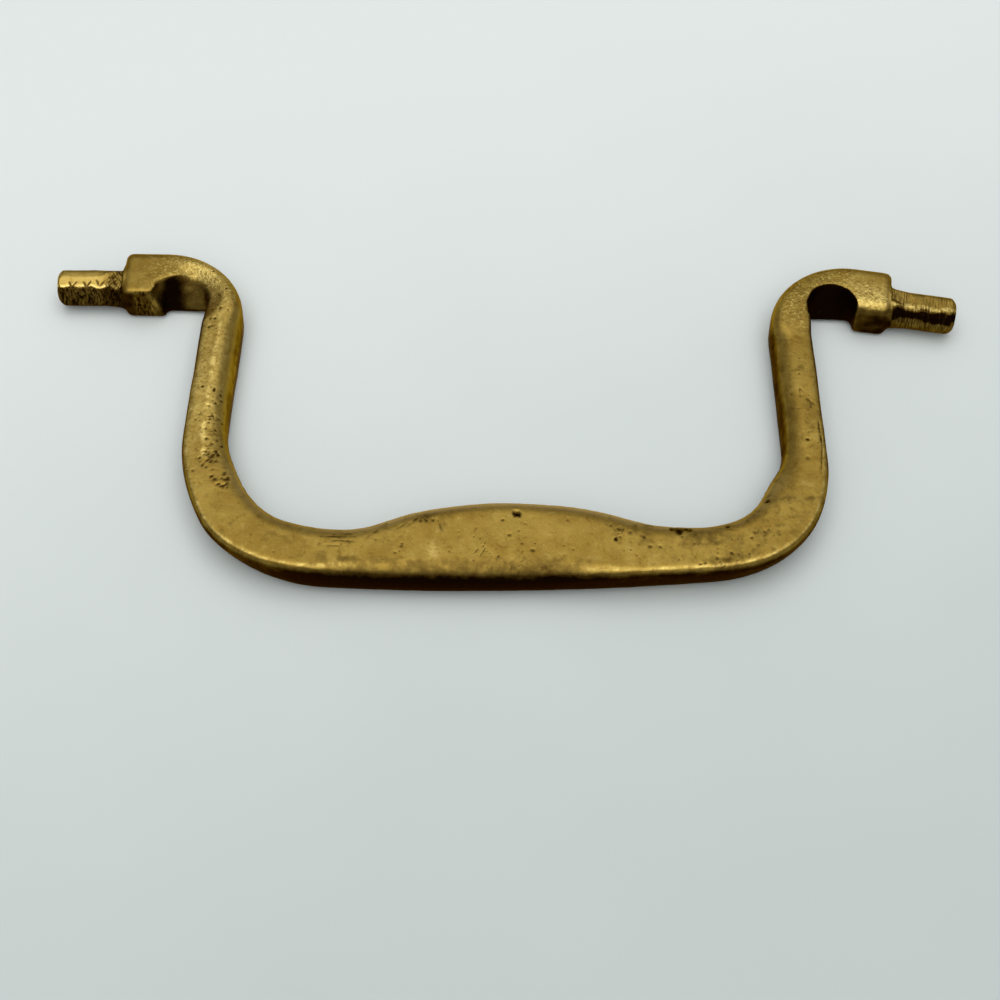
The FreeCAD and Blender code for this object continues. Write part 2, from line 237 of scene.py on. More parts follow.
@dataclass(frozen=True)
class Mound:
    """A patch that is strongest in its middle, seen from the front."""

    x: float
    y: float
    spread_x: float
    spread_y: float
    amount: float = 1.0

    def at(self, points: Array) -> Array:
        """Grades how strong the patch is at each point.

        Args:
            points: The places.

        Returns:
            Up to the amount.
        """
        away = ((points[:, 0] - self.x) / self.spread_x) ** 2 + ((points[:, 1] - self.y) / self.spread_y) ** 2
        return self.amount * np.exp(-away / 2.0)


@dataclass(frozen=True)
class Pit:
    """One casting hole in the front face."""

    x: float
    y: float
    radius: float
    depth: float
    dirt: float = 1.0


@dataclass(frozen=True)
class PitPatch:
    """A patch of small casting holes, thickest in its middle."""

    x: float
    y: float
    spread_x: float
    spread_y: float
    count: int
    smallest: float
    largest: float
    seed: int
    depth_share: float = 0.32
    dirt_share: float = 4.2
    most_dirt: float = 0.9

    def pits(self) -> list[Pit]:
        """Scatters the holes of the patch.

        Returns:
            The holes, the same ones each time.
        """
        dice = np.random.default_rng(self.seed)
        across = dice.normal(self.x, self.spread_x, self.count)
        along = dice.normal(self.y, self.spread_y, self.count)
        radii = self.smallest + (self.largest - self.smallest) * dice.random(self.count) ** 2
        return [Pit(float(x), float(y), float(r), float(r * self.depth_share),
                    float(min(r * self.dirt_share, self.most_dirt)))
                for x, y, r in zip(across, along, radii)]


@dataclass(frozen=True)
class Scratch:
    """A straight groove in the front face."""

    x0: float
    y0: float
    x1: float
    y1: float
    width: float = 0.12
    depth: float = 0.03
    dirt: float = 0.58


@dataclass(frozen=True)
class HollowFloor:
    """The sloping floor of the hollow under one bend, arched from end to end."""

    start: float
    end: float
    rim: float
    foot: float
    arch_radius: float

    def drop(self, x: float) -> float:
        """Tells how much lower the arch is at x than at its middle.

        Args:
            x: The place along the pins.

        Returns:
            The drop in millimetres.
        """
        from_middle = min(abs(x - (self.start + self.end) / 2.0), self.arch_radius)
        return self.arch_radius - math.sqrt(self.arch_radius ** 2 - from_middle ** 2)


@dataclass(frozen=True)
class Walls:
    """How far each point is from the bail's two walls, and which way each wall faces in plan."""

    outer: Array
    inner: Array
    outer_way: Array
    inner_way: Array


@dataclass(frozen=True)
class Facet:
    """A flat filed along a pin."""

    tilt_deg: float
    from_axis: float


@dataclass(frozen=True)
class Pattern:
    """A cloudy pattern of a finish, stretched and turned about Z."""

    scale: float
    detail: float
    rough: float = 0.5
    warp: float = 0.0
    stretch: Point = (1.0, 1.0, 1.0)
    turn_deg: float = 0.0


@dataclass(frozen=True)
class Grade:
    """A range of a pattern, and what its two ends become."""

    low: float
    high: float
    to_low: float = 0.0
    to_high: float = 1.0


@dataclass(frozen=True)
class Coat:
    """A colour that lies over others in one range of a pattern."""

    colour: Colour
    grade: Grade


class NodeSheet:
    """The node tree of one finish, with short ways to add to it."""

    def __init__(self, tree: bpy.types.NodeTree) -> None:
        """Starts from an empty tree.

        Args:
            tree: The tree to fill.
        """
        self.tree = tree
        tree.nodes.clear()

    def add(self, kind: str, feeds: dict[str | int, object] | None = None,
            **settings: object) -> bpy.types.Node:
        """Adds a node.

        Args:
            kind: The node's type name.
            feeds: Sockets or plain values for its inputs.
            settings: Properties of the node.

        Returns:
            The new node.
        """
        node = self.tree.nodes.new(kind)
        for name, value in settings.items():
            setattr(node, name, value)
        for name, value in (feeds or {}).items():
            if isinstance(value, Socket):
                self.tree.links.new(value, node.inputs[name])
            else:
                node.inputs[name].default_value = value
        return node

    def calc(self, kind: str, first: object, second: object, clamp: bool = False) -> Socket:
        """Works on two numbers.

        Args:
            kind: The operation's name.
            first: A socket or a number.
            second: A socket or a number.
            clamp: Keeps the result from 0 to 1.

        Returns:
            The result's socket.
        """
        return self.add("ShaderNodeMath", {0: first, 1: second}, operation=kind, use_clamp=clamp).outputs[0]

    def grade(self, value: Socket, grade: Grade) -> Socket:
        """Maps a number smoothly from one range to another.

        Args:
            value: The number's socket.
            grade: The two ranges.

        Returns:
            The result's socket.
        """
        feeds = {"Value": value, "From Min": grade.low, "From Max": grade.high, "To Min": grade.to_low,
                 "To Max": grade.to_high}
        return self.add("ShaderNodeMapRange", feeds, interpolation_type="SMOOTHSTEP").outputs["Result"]

    def blend(self, share: Socket, first: Socket | Colour, second: Socket | Colour) -> Socket:
        """Mixes two colours.

        Args:
            share: How much of the second colour.
            first: A socket or a colour.
            second: A socket or a colour.

        Returns:
            The mixed colour's socket.
        """
        feeds = {MIX_SHARE: share}
        for place, value in ((MIX_FIRST, first), (MIX_SECOND, second)):
            feeds[place] = value if isinstance(value, Socket) else linear(value)
        return self.add("ShaderNodeMix", feeds, data_type="RGBA").outputs[MIX_RESULT]

    def skin(self, layer: Skin) -> Socket:
        """Reads a layer of the casting's skin.

        Args:
            layer: The layer.

        Returns:
            The layer's socket, from 0 to 1.
        """
        return self.add("ShaderNodeAttribute", attribute_name=layer.value).outputs["Fac"]

    def place(self, stretch: Point = (1.0, 1.0, 1.0), turn_deg: float = 0.0) -> Socket:
        """Gives the place on the piece in millimetres.

        Args:
            stretch: Multiplies the place along each axis.
            turn_deg: Turns it about Z.

        Returns:
            The place's socket.
        """
        feeds = {
            "Vector": self.add("ShaderNodeTexCoord").outputs["Object"],
            "Rotation": (0.0, 0.0, math.radians(turn_deg)),
            "Scale": tuple(MM / part for part in stretch),
        }
        return self.add("ShaderNodeMapping", feeds, vector_type="TEXTURE").outputs["Vector"]

    def cloud(self, pattern: Pattern) -> Socket:
        """Draws a cloudy pattern.

        Args:
            pattern: The pattern.

        Returns:
            The pattern's socket, about 0 to 1.
        """
        feeds = {"Vector": self.place(pattern.stretch, pattern.turn_deg), "Scale": pattern.scale,
                 "Detail": pattern.detail, "Roughness": pattern.rough, "Distortion": pattern.warp}
        return self.add("ShaderNodeTexNoise", feeds).outputs["Fac"]

    def bump(self, height: Socket, depth: float, strength: Socket | float,
             under: Socket | None = None) -> Socket:
        """Raises the surface by a pattern.

        Args:
            height: The pattern, 0 to 1.
            depth: How high 1 stands, in millimetres.
            strength: A share from 0 to 1.
            under: A bumped surface that it stands on.

        Returns:
            The bumped normal's socket.
        """
        feeds = {"Height": height, "Distance": depth * MM, "Strength": strength}
        if under is not None:
            feeds["Normal"] = under
        return self.add("ShaderNodeBump", feeds).outputs["Normal"]


def shaded(name: str) -> tuple[bpy.types.Material, NodeSheet]:
    """Starts a material.

    Args:
        name: Its name.

    Returns:
        The material and its empty node sheet.
    """
    made = bpy.data.materials.new(name)
    made.use_nodes = True
    return made, NodeSheet(made.node_tree)


@dataclass(frozen=True)
class WornBrass:
    """Old cast brass: hand filed, rubbed bright on its edges, brown to black where fingers don't reach, with
    painted shade, painted highlights and a painted reflection of the table in its colour.
    """

    honey: Colour = (144, 115, 48)
    ochre: Coat = Coat((160, 132, 60), Grade(0.34, 0.62))
    straw_blotch: Coat = Coat((172, 146, 76), Grade(0.52, 0.72, 0.0, 0.7))
    straw_streak: Coat = Coat((172, 146, 76), Grade(0.46, 0.74, 0.0, 0.25))
    stain_blotch: Coat = Coat((122, 92, 34), Grade(0.46, 0.26, 0.0, 0.85))
    stain_fleck: Coat = Coat((122, 92, 34), Grade(0.46, 0.26, 0.0, 0.55))
    # A pale film, with a painted reflection of the table in it.
    pale_film_and_reflection: Colour = (212, 183, 122)
    # Rubbed brass, also the colour of painted highlights.
    rubbed_and_glint: Colour = (228, 200, 116)
    olive: Coat = Coat((110, 88, 38), Grade(0.06, 0.38))
    umber: Coat = Coat((72, 51, 17), Grade(0.32, 0.64))
    soot_and_shade_black: Coat = Coat((21, 9, 2), Grade(0.56, 0.92))
    sheen: Colour = (232, 196, 140)
    satin: Grade = Grade(0.2, 0.8, 0.31, 0.47)
    dulled: Grade = Grade(0.2, 0.9, 0.0, 0.14)
    polish: float = 0.07
    drift: Pattern = Pattern(0.22, 5, 0.58, 0.5)
    fleck: Pattern = Pattern(2.6, 5, 0.62)
    blotch: Pattern = Pattern(0.75, 6, 0.68, 0.4)
    grain: Pattern = Pattern(3.4, 4, 0.65)
    patch: Pattern = Pattern(0.9, 6, 0.64)
    streak: Pattern = Pattern(1, 4, 0.6, 0, (5, 0.8, 0.8), 16)
    teeth: Pattern = Pattern(1, 4, 0.6, 0.3, (7, 0.6, 0.6), -5)
    stroke: Pattern = Pattern(1, 3, 0.6, 0, (6, 0.8, 1.2), 34)
    cross_stroke: Pattern = Pattern(1, 3, 0.6, 0, (6, 0.8, 1.2), -40)
    painted_glints: Grade = Grade(0.50, 0.68)
    rub_and_glint_breaks: Grade = Grade(0.28, 0.60)
    patch_middle: float = 0.5
    patch_strength: float = 0.75
    teeth_grime: Grade = Grade(0.56, 0.40, -0.12, 0.26)
    stroke_grime: Grade = Grade(0.50, 0.36, -0.32, 0.22)
    pit_spacing: float = 1.5
    pit_chance: Grade = Grade(0.0, 1.0, 0.02, 0.9)
    pit_shape: Grade = Grade(0.24, 0.08, 0.0, 0.55)
    streak_height: float = 0.016
    fleck_height: float = 0.048
    faint: float = 0.5
    mark_height: float = 0.16
    pit_height: float = 0.05
    pit_strength: float = 0.8

    def material(self) -> bpy.types.Material:
        """Makes the finish.

        Returns:
            The material, driven by the skin of the casting.
        """
        made, sheet = shaded("worn_brass")
        drift, blotch, fleck, streak, grain, teeth, one, other = (sheet.cloud(pattern) for pattern in (
            self.drift, self.blotch, self.fleck, self.streak, self.grain, self.teeth, self.stroke,
            self.cross_stroke))
        cross = sheet.calc("MINIMUM", one, other)
        tarnish = self.tarnish(sheet, teeth, cross)
        pits = self.pits(sheet)
        # Painted glints in the grain of the bends and the right boss.
        painted_glints = sheet.calc("MULTIPLY", sheet.skin(Skin.GRAINY), sheet.grade(grain, self.painted_glints))
        rub_and_glint = sheet.calc("MULTIPLY", sheet.skin(Skin.WORN), sheet.grade(fleck, self.rub_and_glint_breaks))
        rub_and_glint = sheet.calc("ADD", rub_and_glint, painted_glints, True)

        colour = self.honey
        for pattern, coat in ((drift, self.ochre), (blotch, self.straw_blotch), (streak, self.straw_streak),
                              (blotch, self.stain_blotch), (fleck, self.stain_fleck)):
            colour = sheet.blend(sheet.grade(pattern, coat.grade), colour, coat.colour)
        colour = sheet.blend(sheet.skin(Skin.FILM), colour, self.pale_film_and_reflection)
        colour = sheet.blend(rub_and_glint, colour, self.rubbed_and_glint)
        # Olive, umber and black coats over the tarnish, which also paint its shade.
        for coat in (self.olive, self.umber, self.soot_and_shade_black):
            colour = sheet.blend(sheet.grade(tarnish, coat.grade), colour, coat.colour)
        colour = sheet.blend(pits, colour, self.umber.colour)

        rough = sheet.calc("ADD", sheet.grade(fleck, self.satin), sheet.grade(tarnish, self.dulled))
        rough = sheet.calc("SUBTRACT", rough, sheet.calc("MULTIPLY", rub_and_glint, self.polish), True)

        face = None
        for pattern, height, strength in (
                (streak, self.streak_height, self.faint), (fleck, self.fleck_height, self.faint),
                (teeth, self.mark_height, sheet.skin(Skin.FILED)),
                (cross, self.mark_height, sheet.skin(Skin.HATCHED)),
                (grain, self.mark_height, sheet.skin(Skin.GRAINY)),
                (sheet.calc("SUBTRACT", 1.0, pits), self.pit_height, self.pit_strength)):
            face = sheet.bump(pattern, height, strength, face)

        shader = sheet.add("ShaderNodeBsdfPrincipled", {
            "Metallic": 1.0, "Specular Tint": linear(self.sheen), "Base Color": colour, "Roughness": rough,
            "Normal": face})
        sheet.add("ShaderNodeOutputMaterial", {"Surface": shader.outputs["BSDF"]})
        return made

    def tarnish(self, sheet: NodeSheet, teeth: Socket, cross: Socket) -> Socket:
        """Breaks up the tarnish and the painted shade.

        Args:
            sheet: The node tree.
            teeth: The file marks across a pin.
            cross: The crossed file strokes.

        Returns:
            The socket of the tarnish and the painted shade, about 0 to 1.
        """
        patch = sheet.calc("SUBTRACT", sheet.cloud(self.patch), self.patch_middle)
        broken = sheet.calc("MULTIPLY", patch, self.patch_strength)
        tarnish = sheet.calc("ADD", sheet.skin(Skin.TARNISH), broken)
        for marks, grade, layer in ((teeth, self.teeth_grime, Skin.FILED),
                                    (cross, self.stroke_grime, Skin.HATCHED)):
            grime = sheet.calc("MULTIPLY", sheet.grade(marks, grade), sheet.skin(layer))
            tarnish = sheet.calc("ADD", tarnish, grime)
        return tarnish

    def pits(self, sheet: NodeSheet) -> Socket:
        """Scatters pin-prick holes.

        Args:
            sheet: The node tree.

        Returns:
            The holes' socket, from 0 to 1.
        """
        cells = sheet.add("ShaderNodeTexVoronoi", {"Vector": sheet.place(), "Scale": self.pit_spacing})
        shade = sheet.add("ShaderNodeSeparateColor", {"Color": cells.outputs["Color"]})
        chance = sheet.grade(sheet.skin(Skin.PITTED), self.pit_chance)
        chosen = sheet.calc("LESS_THAN", shade.outputs["Red"], chance)
        return sheet.calc("MULTIPLY", chosen, sheet.grade(cells.outputs["Distance"], self.pit_shape), True)


@dataclass(frozen=True)
class PaleTable:
    """The smooth pale table under the bail."""

    far: Coat = Coat((231, 236, 233), Grade(-95.0, 75.0))
    near_shade: Colour = (198, 205, 202)
    skew: float = -0.35
    cloud: Pattern = Pattern(0.03, 3)
    cloud_middle: float = 0.5
    cloud_reach: float = 30.0
    rough: float = 0.62
    gloss: float = 0.3
    grain: Pattern = Pattern(1.8, 3)
    grain_height: float = 0.01
    grain_strength: float = 0.3

    def material(self) -> bpy.types.Material:
        """Makes the finish.

        Returns:
            The material, with painted light falloff: a little darker towards the viewer and to the right, and
                faintly clouded.
        """
        made, sheet = shaded("pale_table")
        spot = sheet.add("ShaderNodeSeparateXYZ", {"Vector": sheet.place()}).outputs
        # Painted light falloff: darker towards the viewer and to the right.
        away = sheet.calc("ADD", spot["Y"], sheet.calc("MULTIPLY", spot["X"], self.skew))
        cloud = sheet.calc("SUBTRACT", sheet.cloud(self.cloud), self.cloud_middle)
        away = sheet.calc("ADD", away, sheet.calc("MULTIPLY", cloud, self.cloud_reach))
        shader = sheet.add("ShaderNodeBsdfPrincipled", {
            "Base Color": sheet.blend(sheet.grade(away, self.far.grade), self.near_shade, self.far.colour),
            "Roughness": self.rough,
            "Specular IOR Level": self.gloss,
            "Normal": sheet.bump(sheet.cloud(self.grain), self.grain_height, self.grain_strength)})
        sheet.add("ShaderNodeOutputMaterial", {"Surface": shader.outputs["BSDF"]})
        return made


@dataclass(frozen=True)
class PatinaAndPaintedLight:
    """Where the casting is tarnished, rubbed bright, greyed, pitted, grainy and filed; the tarnish also holds
    painted shade, the rubbed layer painted highlights and the greyed film a painted reflection of the table.
    """

    stain_cloud: Cloud = Cloud(4, 4, 9, 0.18)
    fine_cloud: Cloud = Cloud(1.1, 3, 4)
    glint_cloud: Cloud = Cloud(0.9, 3, 21)
    outside: Zone = Zone(lean=(0.6, -0.6))
    steep: Zone = Zone(up=(0.80, -0.10))
    outside_grime: Zone = Zone(0.78, 0.22, x=(-32, -20, 32, 20), y=(-10, -16))
    tucked_from: Zone = Zone(0.60, 0.30, x=(0, 5), y=(-13, -7, 16, 12))
    tucked_to: float = -0.10
    # Tarnish and painted shade on the inner walls and rolls.
    inner_wall_tarnish_and_shade: Zone = Zone(0.34, 0.20, y=(-13, -7, 16, 12))
    right_arm_tarnish_and_shade: Zone = Zone(0, 0.30, x=(0, 5), y=(-13, -7, 16, 12))
    arm_edge: Zone = Zone(0, 0.55, y=(-13, -7, 16, 12), outer=(0.40, 0.12))
    back_facing: float = -0.5
    back_grime: float = 0.55
    flat_stain: float = 0.5
    fine_stain: float = 0.06
    # Painted shade darkening the near roll of the grip.
    thumb_edge_shade: Zone = Zone(0, 0.30, x=(-24, -14, 14, 5), y=(-4, -14), outer=(2.8, 1.5))
    # Stains and painted shade show on faces that look up.
    dark_face: Zone = Zone(up=(0.5, 0.8))
    dark_fine: float = 0.4
    stripes: Zone = Zone(spot=Spot(-44.2, 15.9263, 1.6, 0.9, 0.6), up=(0.8, 0.5))
    stripe_grime: float = 0.55
    stripe_hatching: float = 0.8
    # Painted shade on the near face of the right boss.
    chin_shade: Zone = Zone(0, 0.50, Spot(45, 16.0263, 3.4, 2.4), up=(0.82, 0.50))
    mark_grime: float = 0.85
    pin: Zone = Zone(past=(-0.05, 0.12))
    pin_root: Zone = Zone(past=(-0.05, 0.12, 3, 1.2))
    pin_near: Zone = Zone(turn=(38, 46))
    # Painted shade on the pins' near facets, with darker roots and a darker far side on the left pin.
    left_pin_shade_and_grime: tuple[Zone, ...] = (
        Zone(0.02, 0.78, turn=(38, 46)), Zone(0, 0.52, past=(-0.05, 0.12, 3, 1.2)),
        Zone(0, 0.42, turn=(-22, -40)))
    right_pin_shade_and_grime: tuple[Zone, ...] = (
        Zone(0.06, 0.36, turn=(38, 46)), Zone(0, 0.14, past=(-0.05, 0.12, 3, 1.2)))
    # A painted shadow band along the right pin's facet that turns from the light.
    right_pin_shadow_band: Zone = Zone(0, 0.97, turn=(44, 50, 78, 70))
    pin_fine: float = 0.10
    pin_share: float = 0.5
    # Where the hollows are darkened: oxide and painted shade in the recesses.
    left_hollow: Zone = Zone(spot=Spot(-39.4, 15.9263, 3.7, 2.9), up=(0.95, 0.80))
    left_hollow_core: Zone = Zone(0.44, 0.52, Spot(-41.1, 17.3263, 2.1, 0.7, 0.7))
    right_hollow: Zone = Zone(spot=Spot(39.1, 17.3263, 3.5, 3.2), up=(0.95, 0.80))
    crease: Zone = Zone(y=(16, 12), up=(0.999, 0.975, 0.72, 0.92))
    glint: Zone = Zone(0.25, 0.35, y=(6, -6))
    thumb_spared: Zone = Zone(1, -0.9, x=(-24, -14, 14, 5), y=(-4, -14))
    glint_least: float = 0.35
    glint_breaks: Rise = (-0.25, 0.45)
    crease_least: float = 0.85
    crease_fine: float = 0.5
    # A painted highlight along the filed ridge of the left arm.
    ridge_glint: Zone = Zone(0, 0.8, x=(-28, -31), y=(-11, -6, 14, 11), up=(0.9, 0.97),
                       lean=(-0.7, -0.2, 0.7, 0.2))
    ridge_glint_least: float = 0.7
    # Painted highlights show on faces that look up.
    highlight_face: Zone = Zone(0, 0.8, up=(0.6, 0.85))
    # Painted highlights on the pins' edges and the left pin's top.
    pin_edge_glint: Zone = Zone(turn=(26, 34, 46, 40))
    left_pin_top_highlight: Zone = Zone(0, 0.26, x=(1, -1), turn=(-20, -10, 36, 26))
    # The inner rims carry a pale film and a painted reflection of the table.
    film_and_reflection_edge: Zone = Zone(y=(-7, -11), up=(0.999, 0.90, 0.10, 0.50))
    film: Zone = Zone(0.30, 0.45, x=(-23, -12, 25, 14))
    pitted_face: Zone = Zone(0, 0.4, up=(0.6, 0.9))
    pitted_spread: float = math.sqrt(2.0)
    left_bend: Zone = Zone(spot=Spot(-37.5, 18.6263, 8.5, 3), up=(0.2, 0.7))
    right_bend: Zone = Zone(spot=Spot(37.5, 18.6263, 8.5, 3), up=(0.2, 0.7))
    right_boss: Zone = Zone(spot=Spot(44, 17.8, 3.5, 1.5))
    graininess: float = 0.75
    right_filing: Zone = Zone(0, 0.9, x=(-1, 1))
    left_side: Zone = Zone(x=(1, -1))
    stains_shades_and_highlights: tuple[Mound, ...] = (
        # Broad painted shade, where the front slopes away from the light.
        Mound(-22.0, -19.0, 5.5, 2.4, 0.07),
        Mound(23.0, -18.5, 6.5, 2.4, 0.14),
        Mound(31.5, -13.0, 3.5, 4.0, 0.14),
        Mound(34.0, 4.0, 3.0, 8.0, 0.10),
        Mound(-30.0, -16.0, 4.0, 4.0, 0.06),
        Mound(-44.0, 20.0, 2.6, 2.6, 0.05),
        Mound(37.0, 18.0, 3.0, 4.0, 0.10),
        # Stains and dark marks.
        Mound(-9.1, -16.1, 1.5, 0.55, 0.16),
        Mound(-14.0, -17.8, 1.7, 0.7, 0.14),
        Mound(-7.0, -17.1, 0.8, 1.0, 0.12),
        Mound(-18.6, -19.2, 2.2, 0.7, 0.05),
        Mound(22.9, -18.0, 1.6, 0.8, 0.20),
        Mound(13.2, -17.0, 1.6, 0.7, 0.18),
        Mound(24.3, -20.5, 1.5, 0.4, 0.18),
        Mound(-33.6, -8.2, 0.8, 1.0, 0.14),
        Mound(1.5, -22.4, 3.0, 0.4, 0.12),
        # Below zero: painted highlights on the left arm, the right boss, the left bend and a glint on the
        # grip.
        Mound(-35.2, 3.0, 2.5, 8.0, -0.50),
        Mound(44.0, 17.8, 2.3, 1.7, -1.0),
        Mound(-36.4, 18.8, 2.6, 2.6, -0.80),
        Mound(-7.7, -20.4, 0.4, 0.7, -0.7),
    )

    def layers(self, points: Array, survey: Survey, dirt: Array,
               patches: tuple[PitPatch, ...]) -> dict[Skin, Array]:
        """Grades each point in each layer of the skin.

        Args:
            points: The worked places.
            survey: What was measured at the points.
            dirt: How dirty the holes and scratches are.
            patches: The patches of small holes.

        Returns:
            A grade for each point in each layer.
        """
        on = SimpleNamespace(**{name: zone.at(survey) for name, zone in vars(self).items()
                                if isinstance(zone, Zone)})
        on.up = survey["up"]
        on.fine, on.stain, on.clouds = (cloud.at(points) for cloud in (
            self.fine_cloud, self.stain_cloud, self.glint_cloud))
        on.dark, on.bright = self.toned(points)
        left_pin, right_pin = (sum(zone.at(survey) for zone in zones)
                               for zones in (self.left_pin_shade_and_grime, self.right_pin_shade_and_grime))
        pins = np.where(survey["x"] < 0.0, left_pin, np.maximum(right_pin, on.right_pin_shadow_band))
        tarnish = np.where(on.pin > self.pin_share, pins + self.pin_fine * on.fine, self.tarnish(on))
        tarnish = np.maximum(tarnish, self.mark_grime * dirt)
        # Darkens the hollows towards black with oxide and painted shade.
        hollow_oxide_and_shade = np.maximum(on.left_hollow * on.left_hollow_core, on.right_hollow) * (1.0 - on.pin)
        bends = np.maximum(on.left_bend, on.right_bend) * (1.0 - on.pin)
        hatched = np.maximum(on.pin_root, on.pin_near) * on.pin * on.left_side
        wide = self.pitted_spread
        thick = [Mound(patch.x, patch.y, wide * patch.spread_x, wide * patch.spread_y).at(points)
                 for patch in patches]
        return {
            Skin.TARNISH: np.maximum(tarnish, hollow_oxide_and_shade),
            Skin.WORN: self.worn(on),
            Skin.FILM: on.film_and_reflection_edge * on.film * (1.0 - on.outside),
            Skin.PITTED: np.max(thick, axis=0) * on.pitted_face,
            Skin.GRAINY: np.maximum(bends, on.right_boss) * self.graininess,
            Skin.FILED: on.pin * on.right_filing,
            Skin.HATCHED: np.maximum(hatched, on.stripes * self.stripe_hatching),
        }

    def tarnish(self, on: SimpleNamespace) -> Array:
        """Grades how tarnished the cast faces are, and how much painted shade lies on them.

        Args:
            on: The zones and clouds at each point.

        Returns:
            A grade for each point.
        """
        tucked = ramp(on.up, on.tucked_from, self.tucked_to)
        grime = on.outside * on.steep * on.outside_grime
        # The inner walls take tarnish and painted shade.
        grime += (1.0 - on.outside) * tucked * (on.inner_wall_tarnish_and_shade + on.right_arm_tarnish_and_shade)
        grime = np.maximum(grime, on.outside * on.arm_edge)
        grime = np.where(on.up < self.back_facing, self.back_grime, grime)
        grime += on.stain * (self.flat_stain + on.steep) + self.fine_stain * on.fine
        grime += on.thumb_edge_shade + on.dark * on.dark_face * (1.0 + self.dark_fine * on.fine)
        return np.maximum(grime, np.maximum(self.stripe_grime * on.stripes, on.chin_shade))

    def worn(self, on: SimpleNamespace) -> Array:
        """Grades how brightly the edges are rubbed, with the painted highlights and glints on them.

        Args:
            on: The zones and clouds at each point.

        Returns:
            A grade for each point.
        """
        breaks = self.glint_least + ramp(on.clouds, *self.glint_breaks)
        # Painted highlights along the rubbed creases.
        glint = on.crease * on.outside * (1.0 - on.pin) * on.glint * on.thumb_spared * breaks
        worn = glint * (self.crease_least + self.crease_fine * on.fine)
        worn += on.ridge_glint * (self.ridge_glint_least + on.fine) + on.bright * on.highlight_face * (1.0 + on.fine)
        return worn + on.pin * np.maximum(on.pin_edge_glint, on.left_pin_top_highlight * (1.0 - on.pin_root))

    def toned(self, points: Array) -> tuple[Array, Array]:
        """Adds up the patches of the front that are darker, as stains and painted shade, or, below zero,
        brighter, as painted highlights.

        Args:
            points: The places.

        Returns:
            How much darker, as stains and painted shade, and how much brighter, as painted highlights, each
            point is.
        """
        dark, bright = np.zeros(len(points)), np.zeros(len(points))
        for tone in self.stains_shades_and_highlights:
            target = dark if tone.amount > 0.0 else bright
            target += np.abs(tone.at(points))
        return dark, bright


